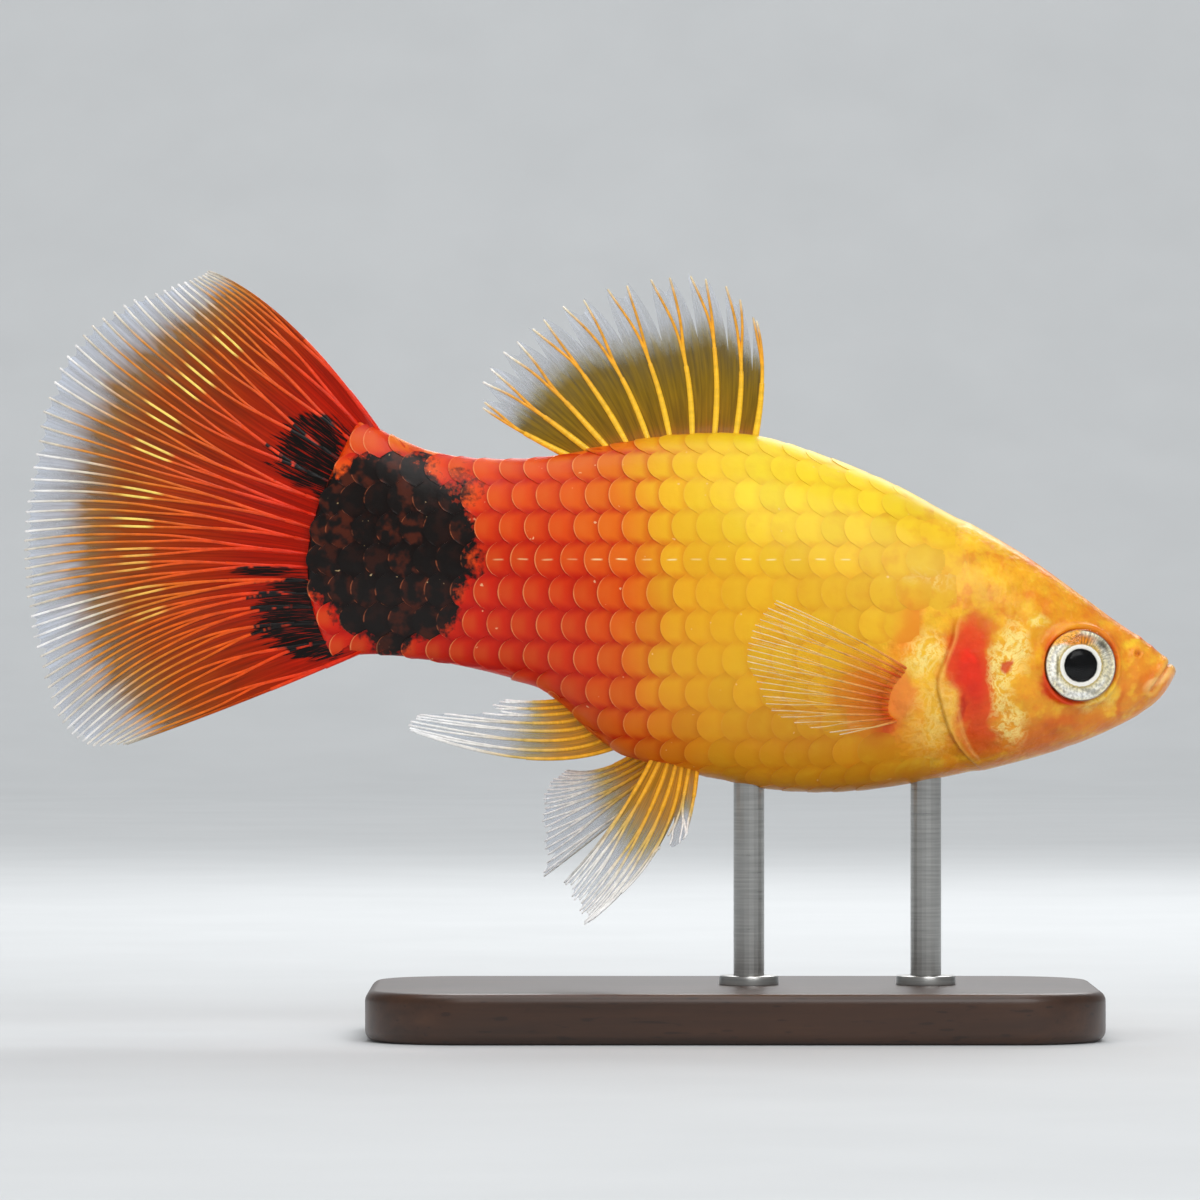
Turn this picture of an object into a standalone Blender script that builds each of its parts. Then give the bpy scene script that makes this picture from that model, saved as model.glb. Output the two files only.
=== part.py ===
# Life-size display model of a male platy, held over a flat base by two short rods.
# Frame: +X to the snout, +Z up, the fish's right side faces -Y. The origin is the middle of
# the model's box, on the floor. Sizes are in millimetres, and MM turns them into metres.
# A place on the fish is (back, up): how far behind the snout's tip, how far above it.

import bmesh
import bpy
import math
import numpy as np
from mathutils import Matrix, Vector

MM = 0.001
GAP = 0.3

# Driving sizes
TOTAL_LENGTH = 60.0
SNOUT_HEIGHT = 19.0
RING_POINTS = 48

# Outline of the body from the side: (back, up) along the back and along the belly
BACK_LINE = [
    (0.0, -0.12), (0.14, 0.12), (0.4, 0.44), (0.8, 0.86), (1.6, 1.5), (2.9, 2.4), (5.5, 4.3),
    (8.1, 6.12), (12.0, 8.34), (15.9, 10.3), (19.0, 11.45), (21.4, 12.2), (24.2, 12.42),
    (28.0, 12.02), (32.6, 11.2), (36.6, 11.1), (39.3, 11.65), (41.9, 12.9), (45.4, 15.6),
]
BELLY_LINE = [
    (0.0, -0.2), (0.14, -0.52), (0.4, -0.98), (0.8, -1.5), (1.6, -2.18), (2.9, -2.92),
    (5.5, -4.02), (8.1, -4.8), (12.0, -5.72), (15.9, -6.34), (18.5, -6.48), (22.4, -6.12),
    (26.3, -5.24), (29.0, -4.4), (30.8, -3.0), (32.4, -1.5), (34.1, -0.72), (37.5, 0.12),
    (40.6, 0.62), (42.8, 0.7), (45.4, 0.3),
]
# Half of the body's width: (back, half width)
HALF_WIDTH = [
    (0.0, 0.1), (0.14, 0.72), (0.4, 1.12), (1.0, 1.5), (2.0, 1.95), (3.5, 2.5), (5.1, 2.98),
    (8.0, 3.7), (12.0, 4.35), (16.0, 4.6), (20.0, 4.55), (25.0, 4.1), (29.0, 3.4),
    (33.0, 2.6), (37.0, 1.95), (41.0, 1.35), (43.5, 0.92), (45.4, 0.7),
]
# How square the section is above and below its widest line: (back, power), where 2 is an ellipse
SQUARE_ABOVE = [(0.0, 2.2), (3.0, 2.7), (7.0, 2.6), (12.0, 2.2), (20.0, 2.0), (45.4, 2.0)]
SQUARE_BELOW = [(0.0, 2.0), (4.0, 2.1), (12.0, 2.2), (20.0, 2.3), (32.0, 2.1), (45.4, 2.0)]

# Where the head ends, along the rear edge of the gill cover: (up, back)
HEAD_END = [
    (-5.9, 9.4), (-4.6, 10.9), (-2.6, 12.1), (-0.4, 12.6), (2.4, 11.9), (5.0, 11.0), (8.2, 10.4),
]
TRUNK_END = 32.7
# Where scales give way to the tail fin's rays: (up, back)
STALK_END = [(0.2, 43.0), (2.5, 44.1), (5.6, 44.7), (9.0, 43.9), (11.4, 42.7), (13.3, 41.7)]

# Head
EYE_PLACE = (5.13, 0.22)
EYE_RADII = (1.78, 0.72, 1.9)
EYE_SINK = 0.02
# How far the eye's disc turns in with the head's taper, sideways for each step forwards
EYE_LEAN = 0.25
NOSTRIL_PLACE = (2.1, 0.84)
NOSTRIL_RADIUS = 0.24
MOUTH_TOP = (0.42, 0.2)
MOUTH_CORNER = (1.35, -1.1)
JAW_BOTTOM = (2.45, -2.62)
# Rolls of the skin: (height, how far off the line or place they follow, width)
LIP_ROLL = (0.12, 0.34, 0.22)
EYE_RIM = (0.1, 2.2, 0.3)
EYE_HOLLOW = (-0.08, 3.0, 0.4)
# Rounded swellings of the flank: (height, back, up, reach along the fish, reach upwards)
COVER_SWELL = (0.22, 11.4, -0.7, 1.9, 3.2)
CHEEK_SWELL = (0.1, 7.6, -1.8, 1.4, 1.8)
FIN_ROOT_SWELL = (0.16, 14.6, -1.3, 1.2, 1.9)
CHEEK_START = 3.2
# The step behind the gill cover: (height, how far behind its edge, width), and its middle's height
COVER_STEP = (-0.2, 0.6, 0.7)
COVER_STEP_UP = (-0.8, 4.0)
# Gill cover: thickness, its lower and upper edge in turns, its front edge and that edge's curve
COVER_THICKNESS = 0.6
COVER_TURNS = (0.105, 0.3)
COVER_FRONT = 9.2
COVER_CURVE = 1.1
COVER_CUTTER_REAR = 14.5
COVER_CUTTER_RISE = 1.2
COVER_CUTTER_GRID = (7, 13)
HEAD_GIRTH = 28.0

# Fins: how many rays and rows of points, thickness at the root, at which share of its length a
# ray splits in two, and how far the split's middle and the skin between rays reach out
FIN_STYLES = {
    "caudal_fin": (14, 8, 1.5, 0.4, 0.985, 0.975),
    "dorsal_fin": (10, 8, 1.0, 0.6, 0.93, 0.74),
    "anal_fin": (8, 7, 0.8, 0.8, 0.99, 0.985),
    "pelvic_fin_right": (7, 7, 0.7, 0.6, 0.95, 0.9),
    "pelvic_fin_left": (6, 7, 0.7, 0.6, 0.95, 0.9),
    "pectoral_fin_right": (7, 6, 0.7, 0.75, 0.98, 0.965),
    "pectoral_fin_left": (7, 6, 0.7, 0.75, 0.98, 0.965),
}
PELVIC_NOTCH = {1: (0.84, 0.45, 0.8)}
# Thickness of the skin between the rays and at its free edge, and how far each ray stands out
# of the skin on either face
WEB_THICKNESS = 0.5
EDGE_THICKNESS = 0.36
RAY_RISE = 0.16

# Stand
BASE_SIZE = (38.0, 22.0, 2.6)
BASE_CENTRE = 7.0
BASE_CORNER = 5.0
BASE_BEVEL = 0.5
ROD_RADIUS = 0.8
ROD_BACKS = (13.0, 22.2)
ROD_SOCKET_DEPTH = 1.6
ROD_IN_BELLY = 1.2
ROD_SIDES = 20
BORE_CLEAR = 2.0


def spline(points):
    """A smooth curve through (place, value) pairs, as a function of the place."""
    places, values = (np.array(row, float) for row in zip(*points))
    steps = np.diff(places)
    rises = np.diff(values) / steps
    count = len(places)
    system = np.eye(count)
    target = np.zeros(count)
    for i in range(1, count - 1):
        system[i, i - 1 : i + 2] = steps[i], 2 * (steps[i - 1] + steps[i]), steps[i - 1]
        target[i] = 3 * (steps[i] * rises[i - 1] + steps[i - 1] * rises[i])
    system[0, :2] = 2, 1
    system[-1, -2:] = 1, 2
    target[0], target[-1] = 3 * rises[0], 3 * rises[-1]
    slopes = np.linalg.solve(system, target)

    def at(place):
        place = np.clip(np.asarray(place, float), places[0], places[-1])
        i = np.clip(np.searchsorted(places, place) - 1, 0, count - 2)
        t = (place - places[i]) / steps[i]
        return (
            values[i] * (1 + 2 * t) * (1 - t) ** 2
            + slopes[i] * steps[i] * t * (1 - t) ** 2
            + values[i + 1] * t * t * (3 - 2 * t)
            + slopes[i + 1] * steps[i] * t * t * (t - 1)
        )

    return at


def along_body(points):
    """A spline over the square root of the distance behind the snout, so that the snout is round."""
    rooted = spline([(math.sqrt(back), value) for back, value in points])
    return lambda back: rooted(np.sqrt(np.maximum(back, 0)))


back_up = along_body(BACK_LINE)
belly_up = along_body(BELLY_LINE)
half_width = along_body(HALF_WIDTH)
square_above = along_body(SQUARE_ABOVE)
square_below = along_body(SQUARE_BELOW)
head_end = spline(HEAD_END)
stalk_end = spline(STALK_END)


def bump(distance, width):
    return np.exp(-((distance / width) ** 2))


def segment_distance(back, up, start, end):
    """How far a place lies from a line between two places."""
    along = (end[0] - start[0], end[1] - start[1])
    length2 = along[0] ** 2 + along[1] ** 2
    t = ((back - start[0]) * along[0] + (up - start[1]) * along[1]) / length2
    t = np.clip(t, 0, 1)
    return np.hypot(back - start[0] - t * along[0], up - start[1] - t * along[1])


def roll(distance, shape):
    height, off, width = shape
    return height * bump(distance - off, width)


def swelling(back, up, shape):
    height, middle_back, middle_up, along, upwards = shape
    return height * bump(np.hypot((back - middle_back) / along, (up - middle_up) / upwards), 1.0)


def relief(back, up):
    """How far the head's lips, eye rim and gill cover stand out of the smooth body."""
    lips = roll(segment_distance(back, up, MOUTH_TOP, MOUTH_CORNER), LIP_ROLL)
    from_eye = np.hypot(back - EYE_PLACE[0], up - EYE_PLACE[1])
    eye_rim = roll(from_eye, EYE_RIM) + roll(from_eye, EYE_HOLLOW)
    middle, reach = COVER_STEP_UP
    shoulder = roll(back - head_end(up), COVER_STEP) * bump(up - middle, reach)
    cheek = (back > CHEEK_START) * swelling(back, up, CHEEK_SWELL)
    behind = back > head_end(up) + GAP / 2
    rear = shoulder + swelling(back, up, FIN_ROOT_SWELL)
    return lips + eye_rim + cheek + np.where(behind, rear, swelling(back, up, COVER_SWELL))


def smooth_point(back, turn):
    """The smooth body's surface. turn is 0 at the belly, 0.25 on the right flank, 0.5 at the back."""
    back, turn = np.broadcast_arrays(np.asarray(back, float), np.asarray(turn, float))
    top, bottom = back_up(back), belly_up(back)
    middle = (top + bottom) / 2
    side, rise = -np.sin(2 * np.pi * turn), -np.cos(2 * np.pi * turn)
    power = 2 / np.where(rise > 0, square_above(back), square_below(back))
    reach = (top - bottom) / 2
    return np.stack(
        [
            TOTAL_LENGTH / 2 - back,
            half_width(back) * np.sign(side) * np.abs(side) ** power,
            SNOUT_HEIGHT + middle + reach * np.sign(rise) * np.abs(rise) ** power,
        ],
        axis=-1,
    )


def body_normal(back, turn):
    step = 1e-3
    across = smooth_point(back, turn + step) - smooth_point(back, turn - step)
    ahead = smooth_point(np.maximum(back - step, 0), turn) - smooth_point(back + step, turn)
    normal = np.cross(ahead, across)
    return normal / np.maximum(np.linalg.norm(normal, axis=-1, keepdims=True), 1e-12)


def body_point(back, turn, lift=0.0):
    """The body's surface with its relief, lift millimetres out."""
    point = smooth_point(back, turn)
    height = relief(np.asarray(back, float), point[..., 2] - SNOUT_HEIGHT) + lift
    return point + body_normal(back, turn) * height[..., None]


def turn_at(back, up):
    """The turn on the right flank at which the body has this height."""
    turns = np.linspace(0.0, 0.5, 241)
    heights = smooth_point(back, turns)[:, 2] - SNOUT_HEIGHT
    return float(np.interp(up, heights, turns))


def place(back, up, side=0.0):
    """A point of the model from a place on the fish; side is positive to the fish's left."""
    return np.stack(
        np.broadcast_arrays(
            TOTAL_LENGTH / 2 - np.asarray(back, float),
            np.asarray(side, float),
            SNOUT_HEIGHT + np.asarray(up, float),
        ),
        axis=-1,
    )


def material(name, colour, roughness, metallic=0.0):
    made = bpy.data.materials.new(name)
    made.use_nodes = True
    shader = made.node_tree.nodes["Principled BSDF"]
    shader.inputs["Base Color"].default_value = (*colour, 1)
    shader.inputs["Roughness"].default_value = roughness
    shader.inputs["Metallic"].default_value = metallic
    return made


def add_object(name, points, faces, finish, smooth_degrees=40):
    """A mesh object from points in millimetres, with its faces turned outwards."""
    mesh = bpy.data.meshes.new(name)
    mesh.from_pydata([tuple(p * MM for p in point) for point in points], [], faces)
    shaper = bmesh.new()
    shaper.from_mesh(mesh)
    bmesh.ops.recalc_face_normals(shaper, faces=shaper.faces)
    shaper.to_mesh(mesh)
    shaper.free()
    mesh.materials.append(finish)
    mesh.shade_smooth()
    mesh.set_sharp_from_angle(angle=math.radians(smooth_degrees))
    made = bpy.data.objects.new(name, mesh)
    bpy.context.scene.collection.objects.link(made)
    return made


def hide_cutter(cutter):
    cutter.hide_render = True
    cutter.display_type = "WIRE"
    return cutter


def boolean(target, operation, cutter):
    cut = target.modifiers.new(f"{operation.lower()}_{cutter.name}", "BOOLEAN")
    cut.operation = operation
    cut.object = cutter
    cut.solver = "EXACT"


def cut_at(end_of, turns):
    """How far behind the snout a curved cut, given by height, lies at each turn."""
    backs = np.full(len(turns), float(end_of(0.0)))
    for _ in range(12):
        backs = end_of(smooth_point(backs, turns)[:, 2] - SNOUT_HEIGHT)
    return backs


def body_length(name, start, end, rings, finish, tip=False):
    """A length of the body between two curved cuts, each given at every point of a ring."""
    turns = np.arange(RING_POINTS) / RING_POINTS
    points, faces = [], []
    for ring in range(rings + 1):
        share = ring / rings
        rooted = np.sqrt(start) * (1 - share) + np.sqrt(end) * share
        points.extend(body_point(rooted**2, turns))
    for ring in range(rings):
        first = ring * RING_POINTS
        for i in range(RING_POINTS):
            j = (i + 1) % RING_POINTS
            faces.append((first + i, first + j, first + RING_POINTS + j, first + RING_POINTS + i))
    ends = [rings * RING_POINTS]
    if tip:
        snout = len(points)
        points.append(place(0.0, (back_up(0.0) + belly_up(0.0)) / 2))
        faces.extend((snout, (i + 1) % RING_POINTS, i) for i in range(RING_POINTS))
    else:
        ends.append(0)
    for first in ends:
        for i in range(1, RING_POINTS // 2 - 1):
            far = RING_POINTS - i
            faces.append((first + i, first + i + 1, first + far - 1, first + far))
        faces.append((first, first + 1, first + RING_POINTS - 1))
        middle = RING_POINTS // 2
        faces.append((first + middle - 1, first + middle, first + middle + 1))
    return add_object(name, points, faces, finish)


def shell_patch(name, side, edge_gap, depth):
    """A curved slab over the gill cover, its edges edge_gap outside the cover's, its inner face
    depth millimetres under the skin."""
    rows, columns = COVER_CUTTER_GRID
    low, high = COVER_TURNS
    turns = np.linspace(low - edge_gap / HEAD_GIRTH, high + edge_gap / HEAD_GIRTH, columns)
    front = COVER_FRONT - edge_gap + COVER_CURVE * np.linspace(-1, 1, columns) ** 4
    shares = np.linspace(0, 1, rows)
    backs = front[None, :] + (COVER_CUTTER_REAR - front[None, :]) * shares[:, None]
    layers = [
        smooth_point(backs, turns[None, :]) + body_normal(backs, turns[None, :]) * height
        for height in (-depth, COVER_CUTTER_RISE)
    ]
    points = np.concatenate([layer.reshape(-1, 3) for layer in layers])
    points[:, 1] *= side
    return hide_cutter(add_object(name, points, slab_faces(rows, columns), skin_plain))


def slab_faces(rows, columns):
    """Triangles of a closed slab: two alike grids of points, one after the other, and its rim."""
    faces = []
    size = rows * columns
    for row in range(rows - 1):
        for column in range(columns - 1):
            a = row * columns + column
            b, c, d = a + 1, a + columns, a + columns + 1
            faces += [(a, b, d), (a, d, c), (size + a, size + d, size + b), (size + a, size + c, size + d)]
    rim = list(range(columns))
    rim += [row * columns + columns - 1 for row in range(1, rows)]
    rim += [(rows - 1) * columns + column for column in range(columns - 2, -1, -1)]
    rim += [row * columns for row in range(rows - 2, 0, -1)]
    for a, b in zip(rim, rim[1:] + rim[:1]):
        faces += [(a, size + b, b), (a, size + a, size + b)]
    return faces


def ellipsoid(name, centre, radii, finish, around=20, down=12, lean=0.0):
    """A closed ball with its poles on the Y axis; lean moves it sideways towards its front."""
    points, faces = [], []
    for ring in range(1, down):
        polar = math.pi * ring / down
        for i in range(around):
            turn = 2 * math.pi * i / around
            ahead = radii[0] * math.sin(polar) * math.cos(turn)
            sideways = radii[1] * math.cos(polar) + lean * ahead
            upwards = radii[2] * math.sin(polar) * math.sin(turn)
            points.append((centre[0] + ahead, centre[1] + sideways, centre[2] + upwards))
    for ring in range(down - 2):
        for i in range(around):
            j = (i + 1) % around
            first, second = ring * around, (ring + 1) * around
            faces.append((first + i, first + j, second + j, second + i))
    for pole, ring in ((1, 0), (-1, down - 2)):
        points.append((centre[0], centre[1] + pole * radii[1], centre[2]))
        top = len(points) - 1
        faces.extend((top, ring * around + i, ring * around + (i + 1) % around) for i in range(around))
    return add_object(name, points, faces, finish)


def half_space(name, through, along, gap):
    """A block ahead of the mouth's plane, its rear face gap millimetres ahead of that plane."""
    size = 8.0
    block = bmesh.new()
    bmesh.ops.create_cube(block, size=size * MM)
    mesh = bpy.data.meshes.new(name)
    block.to_mesh(mesh)
    block.free()
    made = bpy.data.objects.new(name, mesh)
    bpy.context.scene.collection.objects.link(made)
    start, end = Vector(place(*through)), Vector(place(*along))
    downwards = (end - start).normalized()
    forwards = Vector((0, 1, 0)).cross(downwards).normalized()
    if forwards.x < 0:
        forwards.negate()
    middle = start + downwards * 2.0 + forwards * (size / 2 + gap)
    turned = Matrix((forwards, Vector((0, 1, 0)), downwards)).transposed().to_4x4()
    made.matrix_world = Matrix.Translation(middle * MM) @ turned
    return hide_cutter(made)


def curve_point(root, middle, tip, u):
    """A point on the parabola from root (u 0) through middle (u 0.5) to tip (u 1)."""
    return root * (1 - u) * (1 - 2 * u) + middle * 4 * u * (1 - u) + tip * u * (2 * u - 1)


def fin_surface(guides, sideways):
    """The middle surface of a fin, as a function of u, from root to tip, and v, from 0 to 1
    across it. guides are the courses of a few rays: (root, middle, tip), each a place.
    sideways gives how far the fin's skin lies off the fish's middle plane."""
    guides = np.array(guides, float)
    knots = np.linspace(0, 1, len(guides))
    lines = [[spline(list(zip(knots, guides[:, k, axis]))) for axis in (0, 1)] for k in range(3)]

    def at(u, v):
        v = np.clip(v, 0, 1)
        back, up = (
            curve_point(lines[0][axis](v), lines[1][axis](v), lines[2][axis](v), u) for axis in (0, 1)
        )
        return place(back, up, sideways(u, v))

    return at


def fin(name, surface, finish, notches=None):
    """A closed fin with its rays raised on both faces. notches gives other reaches just behind
    the ray of a number: of its rear half, the skin and the next ray's front half."""
    rays, rows, root_thickness, split, middle_reach, web_reach = FIN_STYLES[name]
    lobes = 4
    columns = lobes * (rays - 1) + 3
    course = np.arange(columns) - 1
    v = np.clip(course / (lobes * (rays - 1)), 0, 1)
    kind = course % lobes
    v[1], v[-2] = (v[0] + v[2]) / 2, (v[-3] + v[-1]) / 2
    reach = np.choose(kind, [middle_reach, 1.0, web_reach, 1.0])
    for after, depths in (notches or {}).items():
        reach[lobes * after + 2 : lobes * after + 5] = depths
    u = np.linspace(0, 1, rows + 1)[:, None] * reach[None, :]
    centre = surface(u, np.broadcast_to(v, u.shape))
    across = np.gradient(centre, axis=1)
    outwards = np.gradient(centre, axis=0)
    normal = np.cross(across, outwards)
    normal /= np.linalg.norm(normal, axis=-1, keepdims=True)
    forked = 1 / (1 + np.exp(-(u - split) / 0.05))
    ridge = np.where(kind == 0, 1 - forked, np.where(kind == 2, 0, forked))
    rise = RAY_RISE * ridge * (1 - 0.5 * u)
    half = (WEB_THICKNESS + (root_thickness - WEB_THICKNESS) * np.exp(-u / 0.1)) / 2 + rise
    half[-1] = EDGE_THICKNESS / 2
    offset = normal * half[..., None]
    points = np.concatenate([(centre + offset).reshape(-1, 3), (centre - offset).reshape(-1, 3)])
    return add_object(name, points, slab_faces(rows + 1, columns), finish)


# Courses of rays: (root, middle, tip), each (back, up)
CAUDAL_GUIDES = [
    ((41.9, 12.7), (46.2, 18.0), (50.3, 20.7)),
    ((43.0, 11.2), (48.3, 16.0), (52.5, 19.8)),
    ((44.2, 8.9), (50.8, 12.3), (57.2, 17.0)),
    ((44.6, 7.2), (52.1, 9.4), (59.5, 10.6)),
    ((44.7, 5.8), (52.3, 6.3), (59.9, 5.7)),
    ((44.6, 4.3), (51.7, 3.7), (59.2, 1.0)),
    ((44.2, 2.6), (50.8, 1.5), (57.7, -3.3)),
    ((43.3, 0.7), (48.7, -1.7), (54.6, -3.9)),
]
DORSAL_GUIDES = [
    ((21.9, 12.4), (21.5, 15.4), (21.8, 18.1)),
    ((22.9, 12.4), (22.6, 16.0), (23.05, 19.9)),
    ((24.0, 12.4), (24.0, 16.8), (25.0, 20.8)),
    ((25.15, 12.4), (25.6, 16.5), (26.9, 20.6)),
    ((26.3, 12.3), (27.4, 16.1), (29.2, 20.2)),
    ((27.4, 12.1), (29.1, 15.7), (31.5, 19.3)),
    ((28.5, 11.9), (30.8, 15.3), (33.5, 18.2)),
    ((29.5, 11.8), (32.2, 14.4), (34.7, 16.9)),
    ((30.4, 11.6), (33.2, 13.4), (36.0, 15.4)),
    ((31.5, 11.4), (34.1, 12.4), (36.05, 13.6)),
]
ANAL_GUIDES = [
    ((29.1, -4.4), (33.8, -4.62), (39.7, -3.2)),
    ((29.7, -4.0), (33.7, -4.2), (39.9, -3.1)),
    ((30.2, -3.6), (33.6, -3.7), (39.9, -2.8)),
    ((30.6, -3.2), (33.6, -3.2), (39.5, -2.5)),
    ((31.0, -2.8), (33.5, -2.8), (38.9, -2.33)),
    ((31.3, -2.5), (33.3, -2.4), (35.4, -2.25)),
    ((31.6, -2.2), (33.4, -2.05), (35.5, -1.95)),
    ((31.9, -1.9), (33.4, -1.7), (34.9, -1.6)),
]
PELVIC_RIGHT_GUIDES = [
    ((24.9, -5.6), (25.2, -7.3), (25.66, -8.8)),
    ((25.3, -5.5), (25.75, -7.4), (26.1, -9.2)),
    ((25.7, -5.4), (26.95, -9.1), (30.0, -12.6)),
    ((26.0, -5.3), (27.7, -9.2), (30.85, -13.2)),
    ((26.4, -5.2), (28.2, -8.9), (31.0, -12.6)),
    ((26.8, -5.1), (28.8, -8.3), (31.4, -11.9)),
    ((27.2, -5.0), (29.2, -7.9), (31.8, -11.0)),
]
PELVIC_LEFT_GUIDES = [
    ((26.0, -5.4), (28.8, -7.6), (33.0, -10.95)),
    ((26.4, -5.3), (29.4, -7.05), (32.9, -9.3)),
    ((26.8, -5.2), (29.7, -6.5), (33.0, -7.8)),
    ((27.2, -5.1), (29.9, -6.0), (32.9, -6.7)),
    ((27.6, -5.0), (30.0, -5.6), (32.5, -5.85)),
    ((28.0, -4.9), (29.9, -5.25), (31.7, -5.3)),
]
PECTORAL_GUIDES = [
    ((14.2, 0.1), (17.4, 1.92), (21.0, 3.6)),
    ((14.5, -0.3), (18.2, 1.25), (21.9, 2.6)),
    ((14.9, -0.83), (18.6, 0.42), (22.4, 1.46)),
    ((15.1, -1.35), (18.8, -0.5), (22.4, 0.3)),
    ((15.2, -1.87), (18.4, -1.4), (21.8, -1.0)),
    ((15.1, -2.34), (18.0, -2.34), (20.8, -2.34)),
    ((14.7, -2.65), (16.2, -3.0), (17.7, -3.3)),
]

CAUDAL_WAVE = (0.25, 2.5)
DORSAL_WAVE = (0.15, 2.0)
PELVIC_ROOT_SIDE = 0.9
PELVIC_SPLAY = 2.2
PECTORAL_STANDOFF = 0.5
PECTORAL_SPLAY = 2.3


def flat_wave(height, waves):
    """The gentle ripple of a spread fin: none at the root, height at the free edge."""
    return lambda u, v: height * u * np.sin(waves * 2 * np.pi * v)


def pelvic_side(side):
    return lambda u, v: side * (PELVIC_ROOT_SIDE + PELVIC_SPLAY * u**1.3)


def pectoral_side(side):
    """Off the flank by a short fold at the root, then slanting out to the rear."""

    def sideways(u, v):
        u, v = np.broadcast_arrays(u, v)
        knots = np.linspace(0, 1, len(PECTORAL_GUIDES))
        flanks = []
        for guide in PECTORAL_GUIDES:
            back, up = guide[0]
            flanks.append(abs(float(body_point(back, turn_at(back, up))[1])))
        flank = np.interp(v, knots, flanks)
        fold = PECTORAL_STANDOFF * (1 - np.exp(-u / 0.08))
        return side * (flank + GAP + fold + PECTORAL_SPLAY * u)

    return sideways


def rooted_on_back(guides):
    """The guides with their roots GAP over the back."""
    return [((root[0], float(back_up(root[0])) + GAP), middle, tip) for root, middle, tip in guides]


def rooted_on_stalk(guides):
    """The guides with their roots GAP behind the tail stalk's end."""
    return [((float(stalk_end(root[1])) + GAP, root[1]), middle, tip) for root, middle, tip in guides]


def rooted_on_belly(guides, side):
    """The guides with their roots GAP under the belly, side millimetres off its middle."""
    made = []
    for root, middle, tip in guides:
        turns = np.linspace(0.0, 0.12, 121)
        skin = body_point(root[0], turns)
        up = float(np.interp(side, -skin[:, 1], skin[:, 2])) - SNOUT_HEIGHT
        made.append(((root[0], up - GAP), middle, tip))
    return made


def clear_scene():
    for old in list(bpy.data.objects):
        bpy.data.objects.remove(old)


clear_scene()
skin_plain = material("scaled skin", (0.86, 0.3, 0.02), 0.4)
yellow_skin = material("yellow scaled skin", (0.9, 0.55, 0.04), 0.4)
red_skin = material("red scaled skin", (0.75, 0.1, 0.01), 0.4)
cover_skin = material("gill cover skin", (0.8, 0.16, 0.02), 0.35)
iris_silver = material("silver iris", (0.72, 0.7, 0.62), 0.25, 0.6)
red_web = material("red fin skin", (0.72, 0.14, 0.01), 0.35)
yellow_web = material("yellow fin skin", (0.72, 0.42, 0.04), 0.35)
clear_web = material("clear fin skin", (0.7, 0.66, 0.55), 0.3)
stained_beech = material("stained beech", (0.05, 0.035, 0.025), 0.45)
brushed_steel = material("brushed steel", (0.6, 0.6, 0.6), 0.3, 1.0)


def rod_bore(name, back, bottom, top, finish):
    """The cutter of a hole for a rod, GAP wider than it all round."""
    x = TOTAL_LENGTH / 2 - back
    return hide_cutter(cylinder(name, x, bottom, top, ROD_RADIUS + GAP, finish))


def build_body():
    turns = np.arange(RING_POINTS) / RING_POINTS
    head_cut = cut_at(head_end, turns)
    stalk_cut = cut_at(stalk_end, turns)
    snout = np.full(RING_POINTS, 0.01)
    trunk_cut = np.full(RING_POINTS, TRUNK_END)
    head = body_length("head", snout, head_cut, 26, skin_plain, tip=True)
    trunk = body_length("trunk", head_cut + GAP, trunk_cut, 13, yellow_skin)
    for word, back in zip(("front", "rear"), ROD_BACKS):
        belly = SNOUT_HEIGHT + float(belly_up(back))
        bore = rod_bore(f"belly_bore_{word}", back, belly - BORE_CLEAR, belly + ROD_IN_BELLY, yellow_skin)
        boolean(trunk, "DIFFERENCE", bore)
    body_length("tail_stalk", trunk_cut + GAP, stalk_cut, 9, red_skin)
    return head


def build_head(head):
    """Gill covers, lower jaw and eyes, each parted from the head by a thin cut."""
    for side, word in ((1, "right"), (-1, "left")):
        cover = bpy.data.objects.new(f"gill_cover_{word}", head.data.copy())
        bpy.context.scene.collection.objects.link(cover)
        cover.data.materials[0] = cover_skin
        boolean(cover, "INTERSECT", shell_patch(f"cover_cutter_{word}", side, 0.0, COVER_THICKNESS))
    jaw = bpy.data.objects.new("lower_jaw", head.data.copy())
    bpy.context.scene.collection.objects.link(jaw)
    boolean(jaw, "INTERSECT", half_space("jaw_cutter", MOUTH_TOP, JAW_BOTTOM, GAP / 2))
    for side, word in ((1, "right"), (-1, "left")):
        recess = shell_patch(f"cover_recess_{word}", side, GAP, COVER_THICKNESS + GAP)
        boolean(head, "DIFFERENCE", recess)
        flank = float(half_width(EYE_PLACE[0])) - EYE_SINK
        centre = place(*EYE_PLACE, -side * flank)
        socket_radii = [radius + GAP for radius in EYE_RADII]
        lean = side * EYE_LEAN
        socket = ellipsoid(f"socket_cutter_{word}", centre, socket_radii, skin_plain, lean=lean)
        boolean(head, "DIFFERENCE", hide_cutter(socket))
        ellipsoid(f"eye_{word}", centre, EYE_RADII, iris_silver, 24, 10, lean)
        back, up = NOSTRIL_PLACE
        skin = body_point(back, turn_at(back, up))
        mouth_of_pit = (skin[0], skin[1] * side, skin[2])
        pit = ellipsoid(f"nostril_cutter_{word}", mouth_of_pit, [NOSTRIL_RADIUS] * 3, skin_plain, 8, 6)
        boolean(head, "DIFFERENCE", hide_cutter(pit))
    boolean(head, "DIFFERENCE", half_space("skull_cutter", MOUTH_TOP, JAW_BOTTOM, -GAP / 2))


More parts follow.
